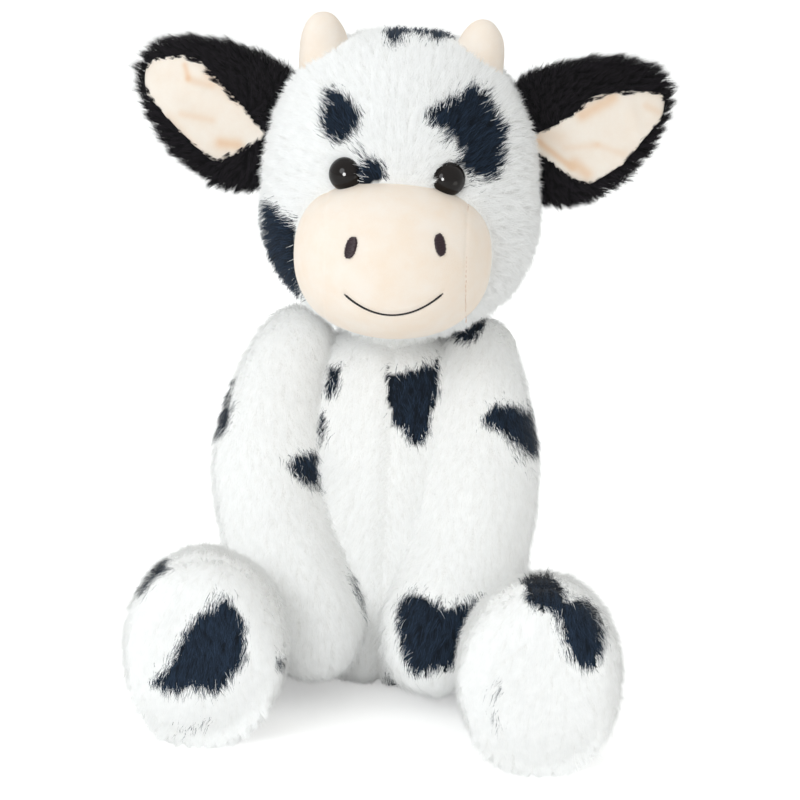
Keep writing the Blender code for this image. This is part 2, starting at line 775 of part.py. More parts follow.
def make_ears(head):
    for side in SIDES:
        back_form = ear_form(
            side, EAR_START_SHARE, EAR_LENGTH * (1 - EAR_START_SHARE), EAR_WIDTH, EAR_WIDTH_SHARES,
            EAR_THICKNESS, 0, 0,
        )
        ear = Stuffed("ear_" + side, back_form)
        ear.larger = [(head, EAR_CLEARANCE)]
        back = ear.solid("ear_" + side + "_back", PARTS, 0)
        finish(back, BLACK)
        lift = (EAR_THICKNESS - GAP) / 2
        lining_form = ear_form(
            side, LINING_START_SHARE, LINING_LENGTH, LINING_WIDTH, LINING_WIDTH_SHARES,
            LINING_THICKNESS, lift, LINING_DROP,
        )
        lining = lining_form.solid("ear_" + side + "_lining", PARTS)
        carve(lining, back_form.solid("lining_bed_" + side, CUTTERS, GAP))
        carve(lining, head.cutter("lining_" + side, GAP, EAR_CLEARANCE))
        finish(lining, PEACH)


def make_legs(torso):
    legs = {}
    for side in SIDES:
        leg = Stuffed("leg_" + side, leg_form(side), hip_point(side), HIP_RADIUS)
        leg.larger = [(torso, 0)]
        leg.stands = True
        legs[side] = leg
        opening = rod(
            "leg_opening_" + side, leg.root, mirrored((-1, 0, 0), side), HIP_RADIUS + OVERRUN,
            LEG_OPENING_RADIUS,
        )
        skin = leg.skin(WHITE, SKIN, opening)
        foot_end = leg.form.spine[-1].y
        reach = FOOT_HEIGHT + FOOT_WIDTH + HIP_OUT
        middle = leg.form.spine[-1]
        low = Vector((middle.x - reach, middle.y - reach, middle.z - reach))
        front = (middle.x + reach, foot_end + SOLE_DEPTH, middle.z + reach)
        carve(skin, box("sole_split_" + side, low, front))
        sole = leg.solid("sole_" + side, PARTS, 0)
        carve(sole, leg.solid("sole_cavity_" + side, CUTTERS, SKIN), solver=NESTED)
        nearer = (front[0], front[1] - GAP, front[2])
        combine(sole, box("sole_room_" + side, low, nearer), "INTERSECT")
        finish(sole, WHITE)
        leg.filling(WADDING, SKIN)
    return legs


def make_arms(torso, head, legs):
    for side in SIDES:
        arm = Stuffed("arm_" + side, arm_form(side), shoulder_point(side), SHOULDER_RADIUS)
        arm.larger = [(torso, ARM_CLEARANCE), (head, ARM_HEAD_CLEARANCE), (legs[side], ARM_CLEARANCE)]
        opening = rod(
            "arm_opening_" + side, arm.root, mirrored((-1, 0, 0), side), SHOULDER_RADIUS + OVERRUN,
            ARM_OPENING_RADIUS,
        )
        arm.skin(WHITE, SKIN, opening)
        arm.filling(WADDING, SKIN)


def make_tail(torso):
    hang = torso.form.front(0, TAIL_HEIGHT)[0]
    share = (TAIL_HEIGHT + FLAT_DEPTH) / TORSO_HEIGHT
    middle = smooth_between(torso.form.spine, share)
    back = Vector((0, middle.y * 2 - hang.y, TAIL_HEIGHT))
    spine = []
    for drop, reach in zip(TAIL_DROP_SHARES, TAIL_REACH_SHARES):
        spine.append(back - FRONT * (TAIL_REACH * reach - TAIL_SEAT) - UP * (TAIL_DROP * drop))
    sizes = [TAIL_RADIUS] * len(spine)
    cord = Stuffed("tail_cord", Form(spine, sizes, sizes, OUT, TAIL_BLUNTNESS, SMALL_FACETS))
    cord.larger = [(torso, 0)]
    finish(cord.solid("tail_cord", PARTS, 0), WHITE)
    top = spine[-1]
    low = top - UP * TUFT_LENGTH
    tuft_spine = [top + UP * TAIL_RADIUS, (top + low) / 2, low]
    swell = [TUFT_RADIUS] * len(tuft_spine)
    tuft = Form(tuft_spine, swell, swell, OUT, TUFT_BLUNTNESS, SMALL_FACETS)
    pile = tuft.solid("tail_tuft", PARTS)
    carve(pile, cord.form.solid("tuft_bed", CUTTERS, GAP))
    carve(pile, torso.cutter("tail_tuft", GAP, 0))
    finish(pile, BLACK)
    return back + UP * TAIL_RADIUS


def hang(name, place, carrier, *starts):
    """Gives the pieces of one moving body an empty on its joint as their parent."""
    pivot = bpy.data.objects.new(name + "_pivot", None)
    PARTS.objects.link(pivot)
    pivot.empty_display_size = PIVOT_SIZE
    pivot.location = place
    if carrier:
        pivot.parent = carrier
        pivot.matrix_parent_inverse = carrier.matrix_basis.inverted()
    for piece in PARTS.objects:
        if piece.type != "EMPTY" and piece.name.startswith(starts):
            piece.parent = pivot
            piece.matrix_parent_inverse = Matrix.Translation(place).inverted()
    return pivot


empty_scene()
PARTS = collection("plush_cow")
CUTTERS = collection("cutters")
WHITE = material("white_pile", PILE_WHITE)
BLACK = material("black_pile", PILE_BLACK)
PEACH = material("peach_cloth", PEACH_CLOTH)
WADDING = material("stuffing", STUFFING)
EYE = material("eye_plastic", EYE_PLASTIC)
WASHER = material("washer_plastic", WASHER_PLASTIC)
THREAD = material("dark_thread", DARK_THREAD)
POUCH = material("pouch_cloth", POUCH_CLOTH)

torso_piece = make_torso()
head_piece = make_head(torso_piece)
dress_torso(torso_piece)
shank_holes, eye_seats, washer_pockets, dome_rooms = make_eyes(head_piece)
dress_head(head_piece, shank_holes, eye_seats, washer_pockets)
muzzle_piece = make_muzzle(head_piece, dome_rooms)
make_face(muzzle_piece)
make_horns(head_piece)
make_ears(head_piece)
leg_pieces = make_legs(torso_piece)
make_arms(torso_piece, head_piece, leg_pieces)
tail_root = make_tail(torso_piece)

neck_pivot = hang("neck", neck_point(), None, "neck_")
face = ("muzzle_", "eye_", "nostril_", "mouth_", "horn_")
head_pivot = hang("head", neck_point(), neck_pivot, "head_", *face)
for ending in SIDES:
    hang("ear_" + ending, ear_root(ending), head_pivot, "ear_" + ending)
    hang("arm_" + ending, shoulder_point(ending), None, "arm_" + ending)
    hang("leg_" + ending, hip_point(ending), None, "leg_" + ending, "sole_" + ending)
hang("tail", tail_root, None, "tail_")
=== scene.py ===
"""Looks of the seated plush cow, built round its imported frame.

Metres, +Z up, facing -Y. Every stuffed piece has an undercoat, which is its sewn form
grown by the thick of the pile, and strands of pile combed over it. Patches of dark pile
lie where the photograph shows them, as outlines in the photograph's pixels seen through
the camera, and as round patches on the sides and the back that it doesn't show.
"""

import math

import bpy
import numpy as np
from mathutils import Matrix, Vector
from mathutils.bvhtree import BVHTree


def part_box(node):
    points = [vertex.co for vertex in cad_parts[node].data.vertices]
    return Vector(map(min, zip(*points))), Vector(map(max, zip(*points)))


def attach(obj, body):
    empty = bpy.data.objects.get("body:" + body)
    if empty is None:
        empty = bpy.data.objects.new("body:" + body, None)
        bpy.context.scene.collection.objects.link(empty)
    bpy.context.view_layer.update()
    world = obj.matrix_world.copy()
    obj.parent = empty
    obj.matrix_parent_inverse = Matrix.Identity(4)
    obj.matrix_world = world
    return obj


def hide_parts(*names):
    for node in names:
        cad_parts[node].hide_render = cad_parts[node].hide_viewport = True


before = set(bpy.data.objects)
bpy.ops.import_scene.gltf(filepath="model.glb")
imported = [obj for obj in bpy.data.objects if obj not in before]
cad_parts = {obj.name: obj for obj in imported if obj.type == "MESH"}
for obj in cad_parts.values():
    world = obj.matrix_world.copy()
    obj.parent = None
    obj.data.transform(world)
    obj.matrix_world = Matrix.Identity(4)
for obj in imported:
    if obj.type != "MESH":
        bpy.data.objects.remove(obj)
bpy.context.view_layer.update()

# Camera: the photograph's place and frame
FRAME_PIXELS = 800
AZIMUTH = math.radians(2)
ELEVATION = math.radians(16)
ROLL = math.radians(2.5)
DISTANCE = 1.5
FRAME_WIDTH = 0.388
TARGET = np.array((0.0029, 0.0, 0.129))
SENSOR = 36.0
MM = 0.001

# Pile
UNDERCOAT = 3.1 * MM
PILE_LENGTH = 6.6 * MM
PILE_WIDTH = 0.22 * MM
EAR_PILE_LENGTH = 8.5 * MM
TUFT_PILE_LENGTH = 9.5 * MM
SHORT_PILE_LENGTH = 4.5 * MM
CLUMP = 3.0 * MM
PATCH_BLUR = 2.8
PATCH_FACING = 0.02
ROUND_PATCH_FACING = 0.25
ROUND_PATCH_WOBBLE = 0.22
STRAND_COUNTS = {
    "torso": 56000, "head": 62000, "ear": 42000, "arm": 30000, "leg": 30000, "sole": 32000, "tail": 6000, "tuft": 7000,
}
FLYAWAY_SHARE = 0.12
ROOT_DEPTH = 0.5 * MM
PILE_CLEARANCE = 1.2 * MM
LIMB_COVER = 12 * MM
ARM_COVER = 8 * MM
FLOOR_GAP = 0.3 * MM
MESH_STEP = 2.2 * MM
FINE_STEP = 0.9 * MM
COVER_STEP = 3 * MM
PROFILE_POINTS = 1441
SEED = 4
FLOOR_GLOW = 0.34
FLOOR_REACH = 12.0
ROOM_WHITE = (0.985, 1.0, 0.985, 1)
ROOM_STRENGTH = {"left": 0.87, "right": 0.69}
LAMP_TARGET = Vector((0, -0.02, 0.15))
# Strands: least share and spread of length, width and raise, and the spread of roll and tint
LENGTH_SPREAD = (0.82, 0.36)
WIDTH_SPREAD = (0.8, 0.4)
RAISE_SPREAD = (0.6, 0.5)
FLYAWAY_RAISE = 1.1
ROLL_SPREAD = 0.4
TINT_SPREAD = 0.35
TINT_LIMIT = 0.8
# Strands: the two flat lengths, their share of the clump's pull, and the width and tip colour at the middle
LENGTH_PARTS = (0.45, 0.62)
CLUMP_PARTS = (0.45, 0.55)
MIDDLE_WIDTH = 0.85
MIDDLE_TIP_SHARE = 0.65
# A strand's corners, as a quad and a triangle, and their places in its cell of the bake map
STRAND_CORNERS = (0, 1, 3, 2, 2, 3, 4)
STRAND_BAKE_MAP = ((0.1, 0.1), (0.7, 0.1), (0.7, 0.5), (0.1, 0.5), (0.1, 0.5), (0.7, 0.5), (0.4, 0.9))

# The sewn forms, with the sizes of the frame's solids
TORSO_HEIGHT = 0.163
TORSO_WIDTH = 0.124
TORSO_DEPTH = 0.108
TORSO_WIDTH_SHARES = (0.86, 1.02, 1.02, 0.93, 0.83, 0.76)
TORSO_DEPTH_SHARES = (0.92, 1.02, 0.99, 0.89, 0.79, 0.74)
TORSO_LEAN_SHARES = (0.09, 0.07, 0.04, 0.01, 0.0, 0.0)
TORSO_BLUNTNESS = (5.6, 2.8)
HEAD_BOTTOM = 0.168
HEAD_HEIGHT = 0.136
HEAD_WIDTH = 0.1215
HEAD_DEPTH = 0.112
HEAD_WIDTH_SHARES = (0.92, 1.03, 1.00, 0.945, 0.90)
HEAD_DEPTH_SHARES = (0.92, 1.0, 1.03, 1.0, 0.9)
HEAD_REACH_SHARES = (0.05, 0.04, 0.03, 0.02, 0.0)
HEAD_BLUNTNESS = (2.4, 2.9)
HEAD_TILT = (-1.8 * MM, -0.8 * MM, -1.0 * MM, -2.2 * MM, -3.2 * MM)
MUZZLE_WIDTH = 0.090
MUZZLE_HEIGHT = 0.0739
MUZZLE_DEPTH = 0.080
MUZZLE_CENTRE_HEIGHT = 0.2120
MUZZLE_REACH = 0.051
MUZZLE_SHIFT = -1.5 * MM
MUZZLE_RISE = 0.7 * MM
MUZZLE_BLUNTNESS = (2.3, 2.3)
MUZZLE_SEAMS = {"left": 0.0343, "right": -0.0305}
MUZZLE_SEAM_LEAN = -0.03
HORN_RADIUS = 0.0124
HORN_TIP_RADIUS = 0.0080
HORN_HEIGHT = 0.0356
HORN_OUT = 0.0341
HORN_SHIFT = -3.2 * MM
HORN_BASE_HEIGHT = 0.2815
HORN_REACH = 0.006
HORN_LEAN = math.radians(7)
HORN_PLACE_SHARES = (0, 0.35, 0.7, 1)
HORN_SWELL_SHARES = (1, 0.9, 0.55, 0)
HORN_BLUNTNESS = (6, 2.5)
EAR_LENGTH = 0.0695
EAR_WIDTH = 0.0535
EAR_THICKNESS = 0.0064
EAR_CUP = 0.0125
EAR_ROOT = np.array((0.0555, 0.004, 0.2575))
EAR_SHIFT = -2.0 * MM
EAR_RISE = math.radians(21)
EAR_SWEEP = math.radians(8)
EAR_START_SHARE = -0.10
EAR_WIDTH_SHARES = (0.95, 1.06, 0.98, 0.84, 0.66)
EAR_OFFSET_SHARES = (-0.04, -0.03, 0.0, 0.03, 0.05)
EAR_BLUNTNESS = (2.6, 2.2)
SHOULDER = np.array((0.0440, -0.003, 0.157))
ARM_THICKNESS = {"left": 0.0465, "right": 0.0435}
ARM_DROP = {"left": 0.133, "right": 0.130}
ARM_REACH = {"left": 0.082, "right": 0.079}
ARM_BOW = 0.030
ARM_BOW_SHARES = {
    "left": (-0.20, -0.09, -0.06, -0.22, -0.56, -0.70),
    "right": (0.0, 0.30, 0.42, 0.08, -0.42, -0.58),
}
ARM_REACH_SHARES = (0.0, 0.16, 0.38, 0.62, 0.86, 0.99)
ARM_DROP_SHARES = (-0.10, 0.18, 0.46, 0.70, 0.90, 1.06)
ARM_THICKNESS_SHARES = (0.86, 1.0, 1.06, 1.04, 1.02, 1.0)
ARM_BLUNTNESS = {"left": (2.6, 2.9), "right": (3.0, 2.9)}
HIP = np.array((0.0465, -0.014, 0.0295))
LEG_REACH = {"left": 0.143, "right": 0.129}
LEG_SPLAY = {"left": 0.030, "right": 0.031}
LEG_THICKNESS = 0.055
FOOT_WIDTH = 0.068
FOOT_HEIGHT = 0.088
LEG_REACH_SHARES = (-0.12, 0.20, 0.48, 0.74, 0.90, 1.0)
LEG_SPLAY_SHARES = (0.0, 0.56, 0.86, 0.96, 0.99, 1.0)
LEG_FOOT_SHARES = (0.0, 0.0, 0.18, 0.74, 1.0, 0.97)
LEG_BLUNTNESS = (2.8, 3.1)
LEG_LEAN = 0.003
SOLE_DEPTH = 0.012
FLAT_DEPTH = 0.0005
# The tail's course: shares of its fall and of its reach to the back
TAIL_SHARES = ((0.0, 0.0), (0.10, 0.55), (0.38, 0.92), (0.72, 1.0), (1.0, 1.0))

# Eyes, nostrils and mouth
EYE_RADIUS = 0.0079
EYE_DOME_HEIGHT = 0.0064
EYE_RIM = 0.0008
EYE_PLACES = {"left": 0.0221, "right": -0.0240}
EYE_HEIGHT = 0.2510
EYE_STEPS = 64
SHANK_RADIUS = 0.0018
SHANK_LENGTH = 0.011
NOSTRIL_WIDTH = 0.0055
NOSTRIL_HEIGHT = 0.0099
NOSTRIL_STITCHES = 17
NOSTRILS = {"right": (0.0190, 0.0118, 8), "left": (0.0206, 0.0145, 6)}
MOUTH_SHIFT = 0.9 * MM
MOUTH_WIDTH = 0.0442
MOUTH_DROP = 0.0180
MOUTH_SMILE = 0.0092
MOUTH_TILT = 0.0011
THREAD_RADIUS = 0.48 * MM
SEAM_STITCHES = 26
FACE_CROWN = np.array((0.0, -0.075, 0.236))
TUBE_HELPER = np.array((0.31, 0.22, 0.92))

SIDES = {"left": 1, "right": -1}
UP = np.array((0.0, 0.0, 1.0))
OUT = np.array((1.0, 0.0, 0.0))
FRONT = np.array((0.0, -1.0, 0.0))

# Dark patches: outlines in the photograph's pixels
PATCHES = {
    "head": (
        ((323, 87), (334, 85), (348, 95), (358, 107), (359, 125), (342, 141), (330, 139), (318, 132), (320, 111)),
        ((362, 161), (372, 157), (382, 164), (386, 173), (379, 182), (362, 186), (355, 178)),
        (
            (476, 81), (494, 96), (503, 114), (510, 127), (507, 155), (500, 180), (482, 177), (464, 171),
            (455, 161), (467, 155), (451, 136), (437, 125), (426, 114), (432, 105), (455, 95), (469, 86),
        ),
        (
            (258, 200), (275, 207), (281, 214), (287, 222), (296, 235), (294, 254), (296, 273), (303, 300),
            (285, 300), (262, 262),
        ),
        (
            (385, 12), (450, 12), (449, 32), (441, 39), (428, 36), (418, 30), (404, 31), (400, 39), (392, 43),
            (386, 34),
        ),
    ),
    "torso": (
        (
            (388, 364), (389, 373), (417, 370), (432, 366), (441, 355), (437, 379), (440, 398), (431, 421),
            (425, 449), (410, 448), (403, 433), (391, 423), (388, 402), (387, 376),
        ),
        ((440, 285), (482, 296), (484, 331), (466, 342), (448, 338)),
        ((328, 364), (340, 370), (338, 396), (326, 402)),
        ((317, 416), (325, 420), (323, 450), (316, 448)),
        ((389, 679), (410, 679), (410, 696), (389, 696)),
    ),
    "arm_right": (
        ((284, 467), (297, 458), (316, 455), (330, 460), (330, 495), (309, 488), (293, 476)),
        ((210, 392), (224, 397), (230, 410), (230, 424), (223, 436), (205, 448)),
        ((352, 576), (362, 580), (374, 612), (376, 628), (368, 622)),
    ),
    "arm_left": (
        ((440, 285), (492, 288), (490, 312), (483, 331), (470, 343), (456, 345), (448, 336)),
        (
            (481, 424), (487, 411), (497, 406), (516, 408), (550, 421), (550, 459), (530, 459), (521, 451),
            (512, 444), (500, 433), (487, 431),
        ),
        (
            (397, 604), (409, 596), (426, 598), (447, 610), (472, 602), (492, 600), (482, 614), (466, 625),
            (462, 642), (457, 669), (436, 675), (416, 680), (403, 667), (398, 640), (395, 620),
        ),
    ),
    "leg_right": (
        (
            (209, 610), (221, 602), (236, 607), (243, 622), (247, 647), (242, 669), (228, 688), (213, 697),
            (191, 693), (169, 697), (151, 689), (151, 682), (163, 676), (171, 657), (182, 639), (196, 618),
        ),
        ((130, 556), (164, 552), (166, 570), (150, 585), (138, 600), (128, 594)),
        ((278, 660), (286, 660), (286, 671), (278, 671)),
    ),
    "leg_left": (
        ((520, 579), (547, 570), (559, 583), (567, 596), (564, 609), (540, 612), (526, 602)),
        (
            (552, 604), (588, 600), (603, 622), (607, 650), (595, 674), (578, 669), (566, 648), (564, 630),
            (554, 614),
        ),
    ),
}
# Where dark and white pile mix: an outline and the share of dark
MIXED_PATCHES = {
    "head": (
        (((430, 110), (456, 124), (484, 168), (470, 180), (452, 164), (460, 150), (444, 136)), 0.45),
        (((350, 142), (360, 141), (374, 152), (382, 162), (362, 163), (354, 154)), 0.45),
        (((455, 158), (480, 160), (486, 184), (470, 186)), 0.6),
    ),
    "leg_right": (
        (((210, 597), (224, 594), (236, 598), (238, 608), (206, 611)), 0.45),
        (((176, 729), (192, 731), (206, 723), (208, 730), (194, 739), (178, 737)), 0.22),
    ),
    "leg_left": (
        (((548, 606), (566, 604), (574, 640), (584, 672), (570, 664), (560, 634)), 0.45),
        (((496, 684), (501, 685), (495, 703), (490, 702)), 0.45),
        (((489, 718), (494, 717), (504, 732), (500, 735)), 0.45),
        (((548, 594), (560, 592), (576, 606), (552, 610)), 0.8),
    ),
    "arm_left": ((((508, 428), (530, 455), (532, 474), (516, 462), (498, 436)), 0.35),),
}
# Dark patches that the photograph doesn't show: a middle and a radius
ROUND_PATCHES = {
    "head": (
        ((-0.058, 0.010, 0.207), 0.020),
        ((0.006, 0.004, 0.304), 0.016),
        ((0.030, 0.050, 0.262), 0.028),
        ((-0.030, 0.055, 0.218), 0.022),
        ((0.062, 0.024, 0.205), 0.014),
    ),
    "torso": (
        ((-0.024, 0.050, 0.105), 0.026),
        ((0.040, 0.040, 0.052), 0.020),
        ((0.030, 0.042, 0.142), 0.015),
    ),
    "arm_right": (((-0.079, -0.012, 0.124), 0.015), ((-0.060, 0.008, 0.090), 0.013)),
    "arm_left": (((0.076, -0.008, 0.120), 0.017), ((0.050, 0.000, 0.075), 0.013)),
    "leg_right": (((-0.098, -0.080, 0.050), 0.018), ((-0.070, -0.050, 0.058), 0.010)),
    "leg_left": (((0.100, -0.070, 0.045), 0.018), ((0.075, -0.040, 0.056), 0.012)),
    "tail": (),
}
# The bare linings of the ears, as outlines in the photograph's pixels
LININGS = {
    "right": (
        (144, 73), (160, 61), (186, 58), (203, 64), (212, 75), (226, 90), (242, 107), (253, 122), (264, 130),
        (258, 138), (242, 148), (218, 160), (206, 153), (181, 130), (151, 95),
    ),
    "left": (
        (529, 138), (551, 129), (576, 114), (589, 101), (608, 95), (634, 93), (656, 95), (662, 104), (661, 116),
        (647, 132), (634, 148), (621, 163), (608, 171), (592, 181), (582, 181), (569, 174), (555, 162), (536, 149),
    ),
}

# Folds of the linings: from, to, half width in pixels and height in millimetres
FOLDS = {
    "right": (((182, 78), (206, 92), 7, 1.1), ((160, 104), (232, 142), 11, 0.9), ((150, 70), (190, 120), 12, 0.5)),
    "left": (((560, 128), (640, 104), 10, 0.9), ((560, 158), (615, 134), 12, 0.8), ((630, 105), (640, 140), 8, 0.7)),
}

# Painted shade along the creases of the linings: from, to, half width in pixels and strength
PAINTED_CREASE_SHADES = {
    "right": (
        ((185, 65), (189, 78), 3, 0.8), ((189, 79), (211, 86), 4, 0.5), ((182, 114), (212, 120), 4, 0.4),
        ((221, 143), (238, 145), 6, 0.9), ((209, 75), (238, 101), 6, 0.4), ((170, 118), (196, 148), 5, 0.3),
    ),
    "left": (
        ((533, 137), (572, 168), 3.5, 0.9), ((574, 163), (587, 174), 6, 0.8), ((566, 148), (597, 145), 4, 0.35),
        ((597, 145), (624, 154), 4, 0.35), ((582, 115), (613, 98), 6, 0.8), ((646, 106), (658, 112), 4, 0.4),
        ((540, 134), (560, 138), 9, 0.3),
    ),
}

# Colours, linear
WHITE_TIP = np.array((0.945, 0.952, 0.953))
# Root colours: darker than the tips, as painted shade deep in the pile and on the undercoat
WHITE_ROOT_SHADED = np.array((0.93, 0.93, 0.92))
NAVY_TIP = np.array((0.014, 0.027, 0.050))
NAVY_ROOT_SHADED = np.array((0.003, 0.007, 0.014))
BLACK_TIP = np.array((0.012, 0.010, 0.013))
BLACK_ROOT_SHADED = np.array((0.002, 0.002, 0.003))
PEACH = (0.89, 0.808, 0.725, 1)
PEACH_SHADE = (0.87, 0.71, 0.56, 1)
LINING_CLOTH = (0.88, 0.81, 0.73, 1)
LINING_SHADE = (0.83, 0.70, 0.58, 1)
# The colour that the painted crease shade darkens the linings towards
PAINTED_CREASE_SHADE_COLOUR = np.array((0.93, 0.74, 0.58))
THREAD_PLUM = (0.042, 0.020, 0.027, 1)
THREAD_DARK = (0.008, 0.006, 0.007, 1)


def unit(rows):
    """Rows of vectors at length one."""
    return rows / np.maximum(np.linalg.norm(rows, axis=-1, keepdims=True), 1e-12)


def between(values, share):
    """The values at shares of the way along a list, on a smooth curve through them."""
    values = np.asarray(values, float)
    place = np.clip(share, 0, 1) * (len(values) - 1)
    index = np.minimum(place.astype(int), len(values) - 2)
    t = place - index
    padded = np.concatenate(([values[0] * 2 - values[1]], values, [values[-1] * 2 - values[-2]]))
    before = padded[index]
    start = padded[index + 1]
    end = padded[index + 2]
    after = padded[index + 3]
    if values.ndim > 1:
        t = t[:, None]
    square = before * 2 - start * 5 + end * 4 - after
    cube = start * 3 - before - end * 3 + after
    return (start * 2 + (end - before) * t + square * t * t + cube * t * t * t) / 2


def hashed(cells, salt):
    """A repeatable number from 0 to 1 for each whole-numbered cell."""
    mixed = cells[:, 0] * 374761393 + cells[:, 1] * 668265263 + cells[:, 2] * 2147483647 + salt * 1274126177
    mixed = (mixed ^ (mixed >> 13)) * 1103515245
    mixed = mixed ^ (mixed >> 16)
    return (mixed & 0xFFFF) / 65535.0


def noise(points, size, salt=0):
    """Smooth noise from -1 to 1 with lumps of a size."""
    scaled = points / size + 100.0
    low = np.floor(scaled).astype(np.int64)
    t = scaled - low
    t = t * t * (3 - 2 * t)
    total = np.zeros(len(points))
    for corner in range(8):
        step = np.array((corner & 1, corner >> 1 & 1, corner >> 2 & 1))
        weight = np.prod(np.where(step, t, 1 - t), axis=1)
        total += weight * hashed(low + step, salt)
    return total * 2 - 1


def closed_faces(rings, around):
    """Faces over rings of points that lie between a first and a last point."""
    last = 1 + (rings - 1) * around
    faces = []
    for place in range(around):
        after = (place + 1) % around
        faces.append((0, 1 + after, 1 + place))
        faces.append((last + place, last + after, last + around))
        for low in range(1, last, around):
            faces.append((low + place, low + after, low + around + after, low + around + place))
    return faces


def sway(points, size, salt):
    """A way to lean at each point, that changes slowly over lumps of a size."""
    return np.stack([noise(points, size, salt + axis) for axis in range(3)], axis=1)


class Form:
    """A stuffed form: an oval section that swells and tapers along a spine."""

    def __init__(self, spine, half_widths, half_depths, across, bluntness, cup=0.0):
        self.spine = np.array(spine)
        self.half_widths = np.array(half_widths)
        self.half_depths = np.array(half_depths)
        self.across = np.array(across)
        self.bluntness = bluntness
        self.cup = cup

    def points(self, angle, z, radial, grow):
        share = (z + 1) / 2
        tangent = unit(between(self.spine, share + 0.01) - between(self.spine, share - 0.01))
        side = unit(self.across - tangent * (tangent @ self.across)[:, None])
        depth = np.cross(tangent, side)
        x = np.cos(angle) * radial
        y = np.sin(angle) * radial
        place = between(self.spine, share) + tangent * (grow * z)[:, None]
        place += side * (x * (between(self.half_widths, share) + grow))[:, None]
        place += depth * (y * (between(self.half_depths, share) + grow))[:, None]
        return place + depth * (self.cup * x * x)[:, None]

    def profile(self, step):
        """Ring places and radii, evenly spaced over the surface."""
        angle = np.linspace(0, math.pi, PROFILE_POINTS)
        power = 2 / np.where(np.cos(angle) < 0, self.bluntness[1], self.bluntness[0])
        z = -np.sign(np.cos(angle)) * np.abs(np.cos(angle)) ** power
        radial = np.abs(np.sin(angle)) ** power
        length = np.linalg.norm(np.diff(self.spine, axis=0), axis=1).sum()
        along = np.hypot(np.diff(radial) * self.half_widths.max(), np.diff(z) * length / 2)
        travelled = np.concatenate(([0], np.cumsum(along)))
        places = np.linspace(0, travelled[-1], max(int(travelled[-1] / step), 8) + 1)
        return np.interp(places, travelled, z), np.interp(places, travelled, radial)

    def surface(self, step, grow=0.0):
        """Points and faces of the whole form."""
        ring_z, ring_radial = self.profile(step)
        widest = max(self.half_widths.max(), self.half_depths.max())
        around = max(int(2 * math.pi * widest / step), 12)
        rings = len(ring_z) - 2
        angle = np.pad(np.tile(np.arange(around) * (2 * math.pi / around), rings), 1)
        radial = np.pad(np.repeat(ring_radial[1:-1], around), 1)
        z = np.concatenate((ring_z[:1], np.repeat(ring_z[1:-1], around), ring_z[-1:]))
        return self.points(angle, z, radial, grow), closed_faces(rings, around)

    def front(self, x, z):
        """The point of an upright form's front at a place across and up, and the way it faces."""
        def forward(x, z):
            low = self.spine[0][2]
            high = self.spine[-1][2]
            share = np.array([(z - low) / (high - low)])
            blunt = self.bluntness[1] if share[0] > 0.5 else self.bluntness[0]
            radial = max(1 - abs(share[0] * 2 - 1) ** blunt, 0) ** (1 / blunt)
            width = between(self.half_widths, share)[0] * radial
            depth = between(self.half_depths, share)[0] * radial
            place = between(self.spine, share)[0]
            return place[1] - depth * math.sqrt(max(1 - ((x - place[0]) / width) ** 2, 0))

        step = 0.5 * MM
        across = (forward(x + step, z) - forward(x - step, z)) / (step * 2)
        upward = (forward(x, z + step) - forward(x, z - step)) / (step * 2)
        return np.array((x, forward(x, z), z)), unit(np.array((across, -1.0, upward)))


def halves(size, shares):
    return [size * share / 2 for share in shares]


def mirrored(point, side):
    return np.array((point[0] * SIDES[side], point[1], point[2]))


def torso_form():
    count = len(TORSO_WIDTH_SHARES) - 1
    spine = [
        FRONT * (TORSO_DEPTH * lean) + UP * (TORSO_HEIGHT * place / count - FLAT_DEPTH)
        for place, lean in enumerate(TORSO_LEAN_SHARES)
    ]
    widths = halves(TORSO_WIDTH, TORSO_WIDTH_SHARES)
    return Form(spine, widths, halves(TORSO_DEPTH, TORSO_DEPTH_SHARES), OUT, TORSO_BLUNTNESS)


def head_form():
    count = len(HEAD_WIDTH_SHARES) - 1
    spine = [
        FRONT * (HEAD_DEPTH * reach) + UP * (HEAD_BOTTOM + HEAD_HEIGHT * place / count) + OUT * HEAD_TILT[place]
        for place, reach in enumerate(HEAD_REACH_SHARES)
    ]
    widths = halves(HEAD_WIDTH, HEAD_WIDTH_SHARES)
    return Form(spine, widths, halves(HEAD_DEPTH, HEAD_DEPTH_SHARES), OUT, HEAD_BLUNTNESS)


def muzzle_form():
    centre = FRONT * MUZZLE_REACH + UP * (MUZZLE_CENTRE_HEIGHT + MUZZLE_RISE) + OUT * MUZZLE_SHIFT
    half = UP * (MUZZLE_HEIGHT / 2)
    spine = (centre - half, centre, centre + half)
    return Form(spine, [MUZZLE_WIDTH / 2] * 3, [MUZZLE_DEPTH / 2] * 3, OUT, MUZZLE_BLUNTNESS)


def arm_form(side):
    spine = []
    for bow, reach, drop in zip(ARM_BOW_SHARES[side], ARM_REACH_SHARES, ARM_DROP_SHARES):
        place = mirrored((ARM_BOW * bow, 0, 0), side) + mirrored(SHOULDER, side)
        spine.append(place + FRONT * (ARM_REACH[side] * reach) - UP * (ARM_DROP[side] * drop))
    sizes = halves(ARM_THICKNESS[side], ARM_THICKNESS_SHARES)
    return Form(spine, sizes, sizes, OUT, ARM_BLUNTNESS[side])


def leg_form(side):
    hip = mirrored(HIP, side)
    spine = []
    widths = []
    heights = []
    for reach, splay, foot in zip(LEG_REACH_SHARES, LEG_SPLAY_SHARES, LEG_FOOT_SHARES):
        half_height = (LEG_THICKNESS + (FOOT_HEIGHT - LEG_THICKNESS) * foot) / 2
        place = mirrored((LEG_SPLAY[side] * splay, 0, 0), side) + FRONT * (LEG_REACH[side] * reach)
        spine.append(hip + place + UP * (half_height - FLAT_DEPTH - hip[2]))
        widths.append((LEG_THICKNESS + (FOOT_WIDTH - LEG_THICKNESS) * foot) / 2)
        heights.append(half_height)
    spine[-1] = spine[-1] - FRONT * LEG_LEAN
    return Form(spine, widths, heights, OUT, LEG_BLUNTNESS)


